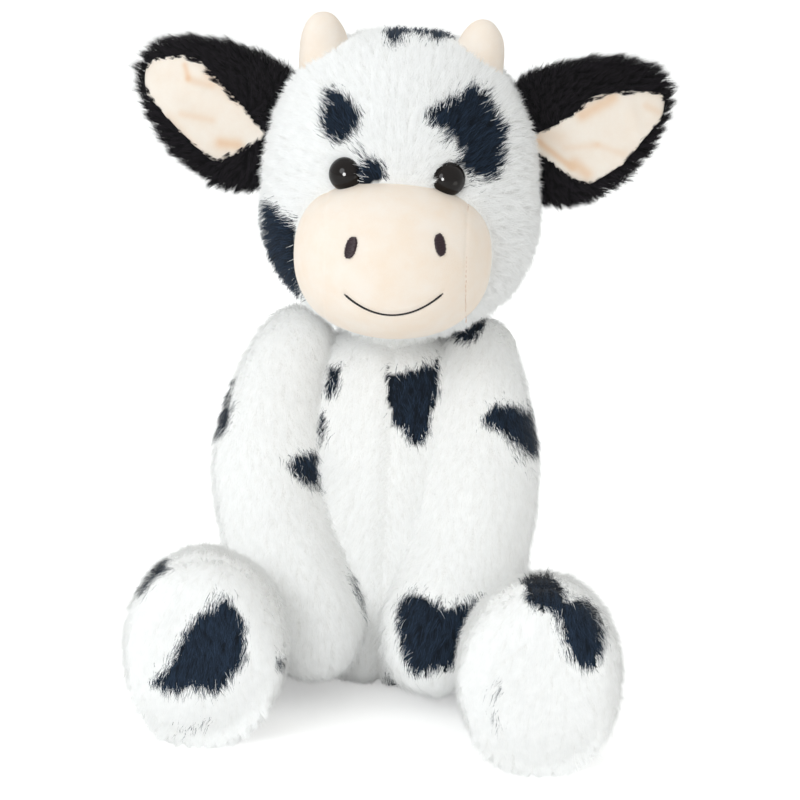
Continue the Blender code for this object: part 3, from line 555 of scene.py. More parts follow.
def ear_root(side):
    return mirrored(EAR_ROOT, side) + OUT * EAR_SHIFT


def ear_axes(side):
    """Along the ear, up across it and out of its cup, to the front."""
    along = unit(np.array((math.cos(EAR_RISE) * math.cos(EAR_SWEEP), math.sin(EAR_SWEEP), math.sin(EAR_RISE))))
    upward = mirrored(unit(UP - along * along[2]), side)
    along = mirrored(along, side)
    cup_way = np.cross(along, upward)
    return along, upward, -cup_way if cup_way[1] > 0 else cup_way


def ear_form(side):
    along, upward, cup_way = ear_axes(side)
    length = EAR_LENGTH * (1 - EAR_START_SHARE)
    start = ear_root(side) + along * (EAR_LENGTH * EAR_START_SHARE)
    count = len(EAR_WIDTH_SHARES) - 1
    spine = [
        start + along * (length * place / count) + upward * (EAR_WIDTH * offset)
        for place, offset in enumerate(EAR_OFFSET_SHARES)
    ]
    depths = [EAR_THICKNESS / 2] * len(spine)
    across = np.cross(cup_way, along)
    return Form(spine, halves(EAR_WIDTH, EAR_WIDTH_SHARES), depths, across, EAR_BLUNTNESS, EAR_CUP)


def horn_form(side):
    base = mirrored((HORN_OUT, -HORN_REACH, HORN_BASE_HEIGHT), side) + OUT * HORN_SHIFT
    way = mirrored((math.sin(HORN_LEAN), 0, math.cos(HORN_LEAN)), side)
    spine = [base + way * (HORN_HEIGHT * share) for share in HORN_PLACE_SHARES]
    sizes = [HORN_TIP_RADIUS + (HORN_RADIUS - HORN_TIP_RADIUS) * share for share in HORN_SWELL_SHARES]
    return Form(spine, sizes, sizes, FRONT, HORN_BLUNTNESS)


# What the camera sees

TO_CAMERA = np.array((
    math.sin(AZIMUTH) * math.cos(ELEVATION), -math.cos(AZIMUTH) * math.cos(ELEVATION), math.sin(ELEVATION)
))
ACROSS = np.array((math.cos(AZIMUTH), math.sin(AZIMUTH), 0.0))
UPWARD = np.cross(TO_CAMERA, ACROSS)
RIGHT = ACROSS * math.cos(ROLL) + UPWARD * math.sin(ROLL)
TOP = UPWARD * math.cos(ROLL) - ACROSS * math.sin(ROLL)
METRES_PER_PIXEL = FRAME_WIDTH / FRAME_PIXELS


def in_photo(points):
    """Where points lie in the photograph, in pixels."""
    away = points - TARGET
    scale = DISTANCE / (DISTANCE - away @ TO_CAMERA) / METRES_PER_PIXEL
    return np.stack((away @ RIGHT * scale, -(away @ TOP) * scale), axis=1) + FRAME_PIXELS / 2


def inside_outline(pixels, outline):
    """Whether pixels lie inside an outline."""
    inside = np.zeros(len(pixels), bool)
    x, y = pixels[:, 0], pixels[:, 1]
    corners = np.array(outline, float)
    for (x1, y1), (x2, y2) in zip(corners, np.roll(corners, -1, axis=0)):
        crossing = (y1 > y) != (y2 > y)
        reach = (x2 - x1) * (y - y1) / (y2 - y1 + 1e-9) + x1
        inside ^= crossing & (x < reach)
    return inside


def patch_mask(points, normals, name, blur=None):
    """Which points carry dark pile. A blur shifts each by its own small step."""
    pixels = in_photo(points)
    pixels = pixels + np.stack((noise(points, 5 * MM, 3), noise(points, 5 * MM, 4)), axis=1) * PATCH_BLUR
    if blur is not None:
        pixels = pixels + blur * PATCH_BLUR
    facing = normals @ TO_CAMERA
    dark = np.zeros(len(points), bool)
    for outline in PATCHES.get(name, ()):
        dark |= inside_outline(pixels, outline) & (facing > PATCH_FACING)
    if blur is not None:
        for outline, share in MIXED_PATCHES.get(name, ()):
            dark |= inside_outline(pixels, outline) & (facing > PATCH_FACING) & (blur[:, 0] * 9.7 % 1 < share)
    for middle, radius in ROUND_PATCHES.get(name, ()):
        away = np.linalg.norm(points - np.array(middle), axis=1)
        dark |= (away < radius * (1 + ROUND_PATCH_WOBBLE * noise(points, 9 * MM, 5))) & (facing < ROUND_PATCH_FACING)
    return dark


# Materials

def new_material(name, roughness, sheen=0.0, specular=0.3):
    skin = bpy.data.materials.new(name)
    skin.use_nodes = True
    shader = skin.node_tree.nodes["Principled BSDF"]
    set_inputs(skin.node_tree, shader, {
        "Roughness": roughness, "Sheen Weight": sheen, "Sheen Roughness": 0.45, "Specular IOR Level": specular,
    })
    return skin, skin.node_tree, shader


def set_inputs(tree, node, inputs):
    """Joins a node's inputs to other nodes' outputs, or sets them to values."""
    for name, value in inputs.items():
        if isinstance(value, bpy.types.NodeSocket):
            tree.links.new(value, node.inputs[name])
        else:
            node.inputs[name].default_value = value


def add_node(tree, kind, inputs, output=0, **settings):
    """The output of a new node with settings of its own."""
    node = tree.nodes.new("ShaderNode" + kind)
    for name, value in settings.items():
        setattr(node, name, value)
    set_inputs(tree, node, inputs)
    return node.outputs[output]


def add_noise(tree, scale, detail, roughness=0.6):
    """Noise that stays with the piece as it moves."""
    place = add_node(tree, "TexCoord", {}, "Object")
    return add_node(tree, "TexNoise", {
        "Scale": scale, "Detail": detail, "Roughness": roughness, "Vector": place,
    }, "Fac")


def add_bump(tree, shader, height, strength, distance):
    bump = add_node(tree, "Bump", {"Strength": strength, "Distance": distance, "Height": height})
    set_inputs(tree, shader, {"Normal": bump})


def add_ramp(tree, share, dark, light, start=0.0, end=1.0):
    ramp = tree.nodes.new("ShaderNodeValToRGB")
    set_inputs(tree, ramp, {"Fac": share})
    for element, place, colour in zip(ramp.color_ramp.elements, (start, end), (dark, light)):
        element.position = place
        element.color = colour
    return ramp.outputs["Color"]


def painted_colour(tree):
    return add_node(tree, "Attribute", {}, "Color", attribute_name="pile")


def pile_material(name, strands):
    """Pile whose colour each point carries, mottled a little."""
    skin, tree, shader = new_material(name, 0.9, 0.08, 0.12)
    scale, low, high = (260, 0.90, 1.06) if strands else (900, 0.82, 1.05)
    grain = add_noise(tree, scale, 3)
    shade = add_node(tree, "MapRange", {"Value": grain, "To Min": low, "To Max": high})
    mixed = {0: painted_colour(tree), "Scale": shade}
    set_inputs(tree, shader, {"Base Color": add_node(tree, "VectorMath", mixed, operation="SCALE")})
    if not strands:
        add_bump(tree, shader, grain, 0.8, 0.8 * MM)
    return skin


def cloth_material(name, light, shade, with_painted_shade=False):
    """Short brushed cloth: fine nap over soft mottling, and, where asked, painted shade from the points' colours."""
    skin, tree, shader = new_material(name, 0.85, 0.15, 0.12)
    mottle = add_noise(tree, 70, 4)
    nap = add_noise(tree, 1700, 3, 0.7)
    both = add_node(tree, "Math", {0: nap, 1: 0.35, 2: mottle}, operation="MULTIPLY_ADD")
    colour = add_ramp(tree, both, shade, light, 0.15, 0.85)
    # Painted shade carried by the points, as in the ear linings' creases
    if with_painted_shade:
        colour = add_node(tree, "VectorMath", {0: colour, 1: painted_colour(tree)}, operation="MULTIPLY")
    set_inputs(tree, shader, {"Base Color": colour})
    add_bump(tree, shader, nap, 0.35, 0.25 * MM)
    return skin


def plain_material(name, colour, roughness, scale, amount, specular=0.3, smooth=False):
    """A moulded or spun stuff with a fine grain in its colour and, unless smooth, its surface."""
    skin, tree, shader = new_material(name, roughness, 0.0, specular)
    grain = add_noise(tree, scale, 4)
    dark = [channel * (1 - amount) for channel in colour[:3]] + [1]
    set_inputs(tree, shader, {"Base Color": add_ramp(tree, grain, dark, colour)})
    if not smooth:
        add_bump(tree, shader, grain, 0.3, 0.3 * MM)
    return skin


# Pieces

def add_mesh(name, points, faces, material):
    mesh = bpy.data.meshes.new(name)
    mesh.from_pydata(np.asarray(points).tolist(), [], faces)
    mesh.materials.append(material)
    mesh.polygons.foreach_set("use_smooth", np.ones(len(mesh.polygons), bool))
    mesh.update()
    return add_thing(name, mesh)


def add_thing(name, data):
    thing = bpy.data.objects.new(name, data)
    bpy.context.scene.collection.objects.link(thing)
    return thing


def rows_of(items, name, kind=np.float32):
    """Three numbers for each of a mesh's items."""
    rows = np.zeros(len(items) * 3, kind)
    items.foreach_get(name, rows)
    return rows.reshape(-1, 3)


def normals_of(thing):
    return rows_of(thing.data.vertex_normals, "vector").astype(float)


def triangles_of(thing):
    thing.data.calc_loop_triangles()
    return rows_of(thing.data.loop_triangles, "vertices", np.int32)


def paint(thing, colours):
    rows = np.ones((len(colours), 4), np.float32)
    rows[:, :3] = colours
    layer = thing.data.attributes.new("pile", "FLOAT_COLOR", "POINT")
    layer.data.foreach_set("color", rows.ravel())


def settle(thing, body, slot, *nodes):
    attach(thing, body)
    if nodes:
        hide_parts(*nodes)
    return thing


def pile_colours(patches, points, facing, tint, blur):
    """Root and tip colours of strands, black or patched, with each one's own tint; the darker root colour is painted
    shade deep in the pile.
    """
    tint = tint[:, None]
    if patches is None:
        return BLACK_ROOT_SHADED * (1 + tint), BLACK_TIP * (1 + tint * 1.6)
    dark = patch_mask(points, facing, patches, blur)[:, None]
    tip = np.where(dark, NAVY_TIP * (1 + tint * 1.5), WHITE_TIP * (1 + tint * 0.10))
    return np.where(dark, NAVY_ROOT_SHADED, WHITE_ROOT_SHADED), np.clip(tip, 0, 0.97)


def scatter(rng, base, count, bare):
    """Places spread evenly over a base piece where bare is below zero, and the ways it faces there."""
    points = points_of(base)
    corners = triangles_of(base)
    corners = corners[(bare[corners] < 0).any(axis=1)]
    a, b, c = (points[corners[:, place]] for place in range(3))
    total = np.cumsum(np.linalg.norm(np.cross(b - a, c - a), axis=1) / 2)
    drawn = (np.arange(count) + rng.random(count)) / count * total[-1]
    corners = corners[np.minimum(np.searchsorted(total, drawn), len(corners) - 1)]
    share = rng.random((count, 2))
    over = share.sum(1) > 1
    share[over] = 1 - share[over]
    weights = np.column_stack((1 - share.sum(1), share))
    kept = (bare[corners] * weights).sum(1) < 0
    corners = corners[kept]
    weights = weights[kept][:, :, None]
    return (points[corners] * weights).sum(1), unit((normals_of(base)[corners] * weights).sum(1))


def strands(name, base, count, length, comb, patches, bare, length_share=None, salt=0,
            lift=(0.55, 0.16), clump=0.70, mess=0.14, swirl=0.26):
    """Pile combed over a base piece: tapered strands of two flat lengths, drawn into clumps.

    A bare value above zero at a corner of the base keeps the pile off it.
    """
    rng = np.random.default_rng(SEED * 1000 + salt)
    roots, facing = scatter(rng, base, count, bare)
    count = len(roots)
    lay = comb(roots, facing)
    lay = unit(lay - facing * (lay * facing).sum(1)[:, None])
    stray = rng.normal(size=(count, 3)) * mess
    cells = np.floor(roots / CLUMP).astype(np.int64)
    middle = np.stack([hashed(cells, 11 + axis) for axis in range(3)], axis=1)
    drawn_in = (cells + middle) * CLUMP - roots
    drawn_in -= facing * (drawn_in * facing).sum(1)[:, None]
    turned = (middle * 2 - 1) * swirl
    own = length * (LENGTH_SPREAD[0] + LENGTH_SPREAD[1] * rng.random(count))
    if length_share is not None:
        own = own * length_share(roots, facing)
    own = own[:, None]
    raised = RAISE_SPREAD[0] + RAISE_SPREAD[1] * rng.random((count, 1))
    raised = raised + FLYAWAY_RAISE * (rng.random((count, 1)) < FLYAWAY_SHARE)
    first = unit(facing * (lift[0] * raised) + (lay + turned + stray) * 0.6)
    second = unit(facing * (lift[1] * raised) + lay + turned * 0.8 + stray)
    sunk = roots - facing * ROOT_DEPTH
    middles = sunk + first * own * LENGTH_PARTS[0] + drawn_in * (clump * CLUMP_PARTS[0])
    tips = middles + second * own * LENGTH_PARTS[1] + drawn_in * (clump * CLUMP_PARTS[1])
    for places in (sunk, middles, tips):
        places[:, 2] = np.maximum(places[:, 2], FLOOR_GAP)
    flat = unit(np.cross(second, facing))
    flat = unit(flat + np.cross(second, flat) * (rng.normal(size=(count, 1)) * ROLL_SPREAD))
    half = flat * (PILE_WIDTH / 2) * (WIDTH_SPREAD[0] + WIDTH_SPREAD[1] * rng.random((count, 1)))
    narrow = half * MIDDLE_WIDTH
    rows = np.stack((sunk - half, sunk + half, middles - narrow, middles + narrow, tips), axis=1)
    tint = np.clip(rng.normal(size=count) * TINT_SPREAD, -TINT_LIMIT, TINT_LIMIT)
    root, tip = pile_colours(patches, (middles + tips) / 2, facing, tint, rng.normal(size=(count, 2)))
    # From the root's painted shade towards the tip's colour along each strand
    middle = root * (1 - MIDDLE_TIP_SHARE) + tip * MIDDLE_TIP_SHARE
    ribbon = unit(np.cross(flat, unit(tips - sunk)))
    ribbon *= np.sign((ribbon * facing).sum(1) + 1e-9)[:, None]
    shown = unit(facing + ribbon * 0.22 + stray * 0.35)
    thing = strand_mesh(name, rows, np.stack((root, root, middle, middle, tip), axis=1), shown)
    thing.visible_shadow = False
    thing.visible_diffuse = name.startswith(("head_pile_1", "ear"))
    return thing


def strand_mesh(name, rows, paints, shown):
    """Strands of five points, each a quad and a triangle, with colours and shading ways."""
    count, size = rows.shape[:2]
    loops = np.arange(count)[:, None] * size + np.array(STRAND_CORNERS)
    begins = np.arange(count)[:, None] * len(STRAND_CORNERS) + np.array((0, 4))
    mesh = bpy.data.meshes.new(name)
    mesh.vertices.add(count * size)
    mesh.vertices.foreach_set("co", rows.reshape(-1).astype(np.float32))
    mesh.loops.add(loops.size)
    mesh.loops.foreach_set("vertex_index", loops.reshape(-1).astype(np.int32))
    mesh.polygons.add(begins.size)
    mesh.polygons.foreach_set("loop_start", begins.reshape(-1).astype(np.int32))
    mesh.polygons.foreach_set("use_smooth", np.ones(begins.size, bool))
    mesh.materials.append(STRANDS)
    mesh.update(calc_edges=True)
    thing = add_thing(name, mesh)
    paint(thing, paints.reshape(-1, 3))
    mesh.normals_split_custom_set_from_vertices(np.repeat(shown, size, axis=0).astype(np.float32))
    side = int(math.ceil(math.sqrt(count)))
    order = np.arange(count)
    cell = np.stack((order % side, order // side), axis=1) / side
    bake_map = cell[:, None, :] + np.array(STRAND_BAKE_MAP)[None] / side
    mesh.uv_layers.new(name="OFBake").data.foreach_set("uv", bake_map.reshape(-1).astype(np.float32))
    return thing


def undercoat(name, form, lumps, step=MESH_STEP, shape=None):
    """A form grown by the thick of the pile, a little uneven, and flat on the floor."""
    thing, points, normals = closed_piece(name, form, step, UNDERCOAT, COAT)
    push = lumps * (noise(points, 22 * MM, 7) + 0.5 * noise(points, 9 * MM, 8))
    if shape is not None:
        push = push + shape(points, normals)
    points = points + normals * push[:, None]
    points[:, 2] = np.maximum(points[:, 2], FLOOR_GAP)
    move_points(thing, points)
    return thing


def coat(base, body, slot, node, patches):
    """Paints an undercoat, black or patched, in the root colours, which are painted shade under the strands, and lets
    it stand for a skin of the frame.
    """
    rows = np.tile(BLACK_ROOT_SHADED, (len(base.data.vertices), 1))
    if patches is not None:
        dark = patch_mask(points_of(base), normals_of(base), patches)[:, None]
        rows = np.where(dark, NAVY_ROOT_SHADED, WHITE_ROOT_SHADED)
    paint(base, rows)
    settle(base, body, slot, node)


def points_of(thing):
    return rows_of(thing.data.vertices, "co").astype(float)


def bvh_of(form):
    """A search tree of a form's faces, and 1 where their normals point out or -1 where they point in."""
    points, faces = form.surface(COVER_STEP)
    middle = points.mean(0)
    outward = 0
    for face in faces[:: max(len(faces) // 60, 1)]:
        a, b, c = points[list(face[:3])]
        outward += np.sign(np.cross(b - a, c - a) @ ((a + b + c) / 3 - middle))
    return BVHTree.FromPolygons(points.tolist(), faces), 1 if outward > 0 else -1


def depth_inside(points, tree):
    """How deep points lie inside a closed form: more than zero is inside."""
    tree, turn = tree
    depth = np.full(len(points), -1.0)
    for index, point in enumerate(points):
        near, normal, face, away = tree.find_nearest(point)
        inside = (near - Vector(point)).dot(normal) * turn > 0
        depth[index] = away if inside else -away
    return depth


def covered(base, *covers):
    """For each corner of a base piece, how far it lies past the edge of other forms' cover."""
    points = points_of(base)
    cover = np.full(len(points), -1.0)
    for name, depth in covers:
        cover = np.maximum(cover, depth_inside(points, TREES[name]) - depth)
    return cover


def combed_down(roots, facing):
    return 0.25 * sway(roots, 25 * MM, 21) - UP


def grow_pile(name, base, body, slot, *args, lots=1, salt=0, **choices):
    """Strands over a base piece, in lots that are each small enough to export."""
    for lot in range(lots):
        lot_name = name + "_" + str(lot + 1) if lots > 1 else name
        settle(strands(lot_name, base, *args, salt=salt + 100 * lot, **choices), body, slot)


# Materials in use

COAT = pile_material("pile_undercoat", False)
STRANDS = pile_material("pile_strands", True)
MUZZLE_CLOTH = cloth_material("muzzle_cloth", PEACH, PEACH_SHADE)
# The lining's cloth takes the painted crease shade
LINING = cloth_material("ear_lining_cloth", LINING_CLOTH, LINING_SHADE, with_painted_shade=True)
NOSTRIL_THREAD = plain_material("nostril_thread", THREAD_PLUM, 0.38, 900, 0.6)
MOUTH_THREAD = plain_material("mouth_thread_dark", THREAD_DARK, 0.6, 900, 0.5)
SEAM_THREAD = plain_material("seam_thread", (0.80, 0.56, 0.42, 1), 0.8, 900, 0.3)
EYE_GLOSS = plain_material("eye_gloss", (0.009, 0.006, 0.005, 1), 0.06, 60, 0.5, specular=0.22, smooth=True)
WADDING = plain_material("wadding", (0.90, 0.90, 0.88, 1), 0.95, 500, 0.3)
WASHER = plain_material("washer_plastic", (0.80, 0.80, 0.78, 1), 0.5, 300, 0.1)
POUCH = plain_material("pouch_weave", (0.72, 0.69, 0.63, 1), 0.9, 1200, 0.3)


def dress_inner_nodes():
    """Stuffing, pouch, washers and the rest that stay as the frame has them."""
    for name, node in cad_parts.items():
        material = WADDING
        if name == "pellet_pouch":
            material = POUCH
        elif name.startswith("eye_washer"):
            material = WASHER
        node.data.materials.clear()
        node.data.materials.append(material)


FORMS = {"torso": torso_form(), "head": head_form(), "muzzle": muzzle_form()}
for side in SIDES:
    FORMS["arm_" + side] = arm_form(side)
    FORMS["leg_" + side] = leg_form(side)
TREES = {name: bvh_of(form) for name, form in FORMS.items()}


def make_torso():
    def down_front(points, normals, width):
        """How near points lie to the seam down the front."""
        return np.exp(-(points[:, 0] / width) ** 2) * (normals[:, 1] < 0)

    def seam(points, normals):
        """The front seam draws the pile in down the middle."""
        return -1.4 * MM * down_front(points, normals, 2.6 * MM)

    def parted(roots, facing):
        lay = combed_down(roots, facing)
        lay[:, 0] += np.sign(roots[:, 0]) * 0.5 * down_front(roots, facing, 6 * MM)
        return lay

    def shorter(roots, facing):
        return 1 - 0.35 * down_front(roots, facing, 3 * MM)

    base = undercoat("torso_coat", FORMS["torso"], 0.7 * MM, shape=seam)
    coat(base, "torso", "white_pile", "torso_skin", "torso")
    bare = covered(base, *[(limb + side, LIMB_COVER) for limb in ("arm_", "leg_") for side in SIDES])
    grow_pile("torso_pile", base, "torso", "white_pile", STRAND_COUNTS["torso"], PILE_LENGTH, parted, "torso", bare,
              shorter, lots=2, salt=1)


def make_head():
    eyes = [FORMS["head"].front(place, EYE_HEIGHT)[0] for place in EYE_PLACES.values()]
    horns = [horn_form(side).spine[0][:2] for side in SIDES]

    def nearest(points, places):
        return np.min([np.linalg.norm(points - place, axis=1) for place in places], axis=0)

    def from_face(roots, facing):
        """Up and out from the bridge of the nose, and down at the cheeks and the back."""
        away = unit(roots - FACE_CROWN)
        fall = np.clip(np.abs(roots[:, 0]) / (HEAD_WIDTH / 2) + (roots[:, 1] + 0.01) / 0.05, 0, 1)
        lay = away - FRONT * 0.25 - UP * (0.75 * fall)[:, None]
        return lay + 0.20 * sway(roots, 22 * MM, 31)

    def shorter(roots, facing):
        by_horn = np.clip((nearest(roots[:, :2], horns) - 10 * MM) / (8 * MM), 0.45, 1)
        by_eye = np.clip((nearest(roots, eyes) - 5.0 * MM) / (7 * MM), 0.60, 1)
        return np.minimum(by_eye, np.where(roots[:, 2] > HORN_BASE_HEIGHT - 10 * MM, by_horn, 1))

    def eye_sockets(points, normals):
        """The eyes draw the face in a little."""
        return -3.0 * MM * np.exp(-(nearest(points, eyes) / (8.5 * MM)) ** 4)

    base = undercoat("head_coat", FORMS["head"], 0.6 * MM, shape=eye_sockets)
    coat(base, "head", "white_pile", "head_skin", "head")
    by_eyes = EYE_RADIUS - 1.0 * MM - nearest(points_of(base), eyes)
    bare = np.maximum(covered(base, ("muzzle", -PILE_CLEARANCE)), by_eyes)
    grow_pile("head_pile", base, "head", "white_pile", STRAND_COUNTS["head"], PILE_LENGTH, from_face, "head", bare,
              shorter, lots=2, salt=2)


def tube(points, radii, sides=6):
    """Points and faces of a closed tube along points."""
    points = np.asarray(points, float)
    tangent = unit(np.gradient(points, axis=0))
    side = unit(np.cross(tangent, TUBE_HELPER))
    other = np.cross(tangent, side)
    angles = (np.arange(sides) * (2 * math.pi / sides))[None, :, None]
    radii = np.broadcast_to(radii, len(points))[:, None, None]
    rings = points[:, None] + (np.cos(angles) * side[:, None] + np.sin(angles) * other[:, None]) * radii
    rows = np.concatenate((points[:1], rings.reshape(-1, 3), points[-1:]))
    return rows, closed_faces(len(points), sides)


def join(parts):
    """Several lots of points and faces as one."""
    points = []
    faces = []
    count = 0
    for rows, part_faces in parts:
        points.append(rows)
        faces.extend(tuple(corner + count for corner in face) for face in part_faces)
        count += len(rows)
    return np.concatenate(points), faces


def keep_faces(points, faces, chosen):
    """The chosen faces with the points that they use, and those points' places in the whole."""
    faces = [face for face, keep in zip(faces, chosen) if keep]
    used = sorted({corner for face in faces for corner in face})
    index = {corner: place for place, corner in enumerate(used)}
    return points[used], [tuple(index[corner] for corner in face) for face in faces], used


def faces_of(thing):
    return [tuple(face.vertices) for face in thing.data.polygons]


def closed_piece(name, form, step, grow, material):
    """A form's whole surface as a piece that faces outward, with its points and normals."""
    points, faces = form.surface(step, grow)
    thing = add_mesh(name, points, faces, material)
    normals = normals_of(thing)
    if ((points - points.mean(0)) * normals).sum() < 0:
        thing.data.flip_normals()
        thing.data.update()
        normals = normals_of(thing)
    return thing, points, normals


def move_points(thing, points):
    thing.data.vertices.foreach_set("co", points.ravel().astype(np.float32))
    thing.data.update()


def mouth_height(x):
    """How high the smile lies at a place across the muzzle."""
    share = (x - MOUTH_SHIFT) / (MOUTH_WIDTH / 2)
    return MUZZLE_CENTRE_HEIGHT - MOUTH_DROP + MOUTH_SMILE * share ** 2 + MOUTH_TILT * share


def make_muzzle():
    form = FORMS["muzzle"]
    thing, points, normals = closed_piece("muzzle_cloth_piece", form, FINE_STEP, 0.6 * MM, MUZZLE_CLOTH)
    off_seam = np.min([np.abs(points[:, 0] - seam_place(side, points[:, 2])) for side in SIDES], axis=0)
    pucker = 0.5 + 0.5 * np.sin(points[:, 2] / (2.6 * MM) * 2 * math.pi)
    push = -(0.24 + 0.14 * pucker) * MM * np.exp(-(off_seam / (0.9 * MM)) ** 2)
    push += 0.30 * MM * noise(points, 18 * MM, 9)
    along = np.abs(points[:, 0] - MOUTH_SHIFT) < MOUTH_WIDTH / 2 + 1 * MM
    off_mouth = np.abs(points[:, 2] - mouth_height(points[:, 0]))
    push -= 0.45 * MM * np.exp(-(off_mouth / (1.5 * MM)) ** 2) * along * (normals[:, 1] < 0)
    move_points(thing, points + normals * push[:, None])
    settle(thing, "head", "peach_cloth", "muzzle_front", "muzzle_side_left", "muzzle_side_right")
    make_muzzle_seam(form, "left")


def seam_place(side, height):
    """How far out a muzzle seam lies at a height."""
    return MUZZLE_SHIFT + MUZZLE_SEAMS[side] + MUZZLE_SEAM_LEAN * (height - MUZZLE_CENTRE_HEIGHT)


def make_muzzle_seam(form, side):
    """A row of small stitches sunk in the seam."""
    parts = []
    half = MUZZLE_HEIGHT / 2 * 0.80
    for stitch in range(SEAM_STITCHES):
        rows = []
        for place, share in enumerate((0.08, 0.5, 0.92)):
            height = MUZZLE_CENTRE_HEIGHT + half * ((stitch + share) / SEAM_STITCHES * 2 - 1)
            wander = 0.10 * MM * math.sin(stitch * 2.3 + place)
            point, facing = form.front(seam_place(side, height) + wander, height)
            rows.append(point + facing * ((0.30 if place == 1 else 0.18) * MM))
        parts.append(tube(rows, 0.20 * MM))
    thing = add_mesh("muzzle_seam_" + side, *join(parts), SEAM_THREAD)
    settle(thing, "head", "peach_cloth")


def make_nostrils():
    """Satin stitches laid side by side in a leaning oval."""
    reach = np.linspace(-1, 1, 9)
    for side, way in SIDES.items():
        out, rise, lean = NOSTRILS[side]
        point, facing = FORMS["muzzle"].front(out * way, MUZZLE_CENTRE_HEIGHT + rise)
        upward = unit(UP - facing * facing[2])
        upward = np.array(Matrix.Rotation(math.radians(lean) * way, 3, Vector(facing))) @ upward
        across = np.cross(upward, facing)
        parts = []
        for stitch in range(NOSTRIL_STITCHES):
            place = (stitch + 0.5) / NOSTRIL_STITCHES * 2 - 1
            half = NOSTRIL_WIDTH / 2 * (1 - abs(place) ** 2.4) ** (1 / 2.4) + 0.12 * MM * math.sin(stitch * 2.1)
            arch = 0.50 * MM * (1 - reach ** 4) + 0.26 * MM * (stitch % 2)
            rows = point + upward * (NOSTRIL_HEIGHT / 2 * place) + across * (half * reach)[:, None]
            rows = rows + upward * (0.30 * MM * reach)[:, None] + facing * (0.35 * MM + arch)[:, None]
            parts.append(tube(rows, 0.40 * MM * (1 - 0.5 * reach ** 8), 8))
        thing = add_mesh("nostril_stitches_" + side, *join(parts), NOSTRIL_THREAD)
        settle(thing, "head", "dark_thread", "nostril_" + side)


def make_mouth():
    """Two plies of thread laid along the smile."""
    shares = np.linspace(-1, 1, 121)
    across = MOUTH_SHIFT + MOUTH_WIDTH / 2 * shares
    centre, ways = np.array([FORMS["muzzle"].front(x, mouth_height(x)) for x in across]).transpose(1, 0, 2)
    centre = centre + ways * (0.40 * MM)
    side = np.cross(unit(np.gradient(centre, axis=0)), ways)
    travelled = np.concatenate(([0], np.cumsum(np.linalg.norm(np.diff(centre, axis=0), axis=1))))
    turn = travelled / (2.4 * MM) * 2 * math.pi
    taper = np.clip((1 - np.abs(shares)) / 0.05, 0.35, 1)
    parts = []
    for ply in (0, math.pi):
        offset = side * np.cos(turn + ply)[:, None] + ways * np.sin(turn + ply)[:, None]
        parts.append(tube(centre + offset * (THREAD_RADIUS * 0.5), THREAD_RADIUS * 0.75 * taper, 8))
    settle(add_mesh("mouth_stitch", *join(parts), MOUTH_THREAD), "head", "dark_thread", "mouth_thread")


def make_eyes():
    """A glossy dome with a rolled rim, on its shank."""
    angles = [math.pi / 2 * (1 - step / 24) for step in range(25)]
    profile = [(EYE_RADIUS * math.cos(angle), EYE_RIM + EYE_DOME_HEIGHT * math.sin(angle)) for angle in angles]
    profile += [(EYE_RADIUS - 0.1 * MM, 0.2 * MM), (EYE_RADIUS - 0.5 * MM, 0)]
    profile += [(SHANK_RADIUS, 0), (SHANK_RADIUS, -SHANK_LENGTH)]
    turns = [2 * math.pi * step / EYE_STEPS for step in range(EYE_STEPS)]
    faces = []
    for low in range(0, (len(profile) - 1) * EYE_STEPS, EYE_STEPS):
        for step in range(EYE_STEPS):
            after = (step + 1) % EYE_STEPS
            faces.append((low + after, low + step, low + EYE_STEPS + step, low + EYE_STEPS + after))
    end = len(profile) * EYE_STEPS
    faces.append(tuple(range(end - EYE_STEPS, end))[::-1])
    for side, out in EYE_PLACES.items():
        point, facing = FORMS["head"].front(out, EYE_HEIGHT)
        place = Matrix.Translation(Vector(point + facing * (0.6 * MM)))
        place = place @ Vector(facing).to_track_quat("Z", "Y").to_matrix().to_4x4()
        rows = [
            tuple(place @ Vector((radius * math.cos(turn), radius * math.sin(turn), height)))
            for radius, height in profile for turn in turns
        ]
        settle(add_mesh("eye_dome_" + side, rows, faces, EYE_GLOSS), "head", "eye_plastic", "eye_" + side)


def make_horns():
    for side in SIDES:
        name = "horn_cloth_" + side
        thing, points, normals = closed_piece(name, horn_form(side), FINE_STEP, 0.4 * MM, MUZZLE_CLOTH)
        push = 0.35 * MM * noise(points, 7 * MM, 13)
        move_points(thing, points + normals * push[:, None])
        settle(thing, "head", "peach_cloth", "horn_" + side + "_skin", "horn_" + side + "_filling")


def make_ears():
    for side in SIDES:
        body = "ear_" + side
        form = ear_form(side)
        along, upward, cup_way = ear_axes(side)
        middle = ear_root(side) + along * (EAR_LENGTH * 0.30)

        def to_rim(roots, facing):
            away = roots - middle
            away = away - cup_way * (away @ cup_way)[:, None]
            return unit(away) + along * 0.55

        def shorter(roots, facing):
            return np.where(facing @ cup_way > 0.5, 0.62, 1.0)

        base = undercoat("ear_coat_" + side, form, 0.2 * MM, step=1.8 * MM)
        coat(base, body, "black_pile", body + "_back", None)
        lined = inside_outline(in_photo(points_of(base)), LININGS[side]) & (normals_of(base) @ cup_way > 0.1)
        bare = np.maximum(covered(base, ("head", 2 * MM)), np.where(lined, 1 * MM, -1 * MM))
        grow_pile("ear_pile_" + side, base, body, "black_pile", STRAND_COUNTS["ear"], EAR_PILE_LENGTH, to_rim, None,
                  bare, shorter, salt=30 + SIDES[side], lift=(0.65, 0.16), clump=0.85, mess=0.10, swirl=0.25)
        make_lining(side, form, cup_way)


def beside_line(pixels, start, end):
    """How far along a line each place lies, as a share, and how far off it."""
    start = np.array(start, float)
    run = np.array(end, float) - start
    share = np.clip((pixels - start) @ run / (run @ run), 0, 1)
    return share, np.linalg.norm(pixels - start - share[:, None] * run, axis=1)


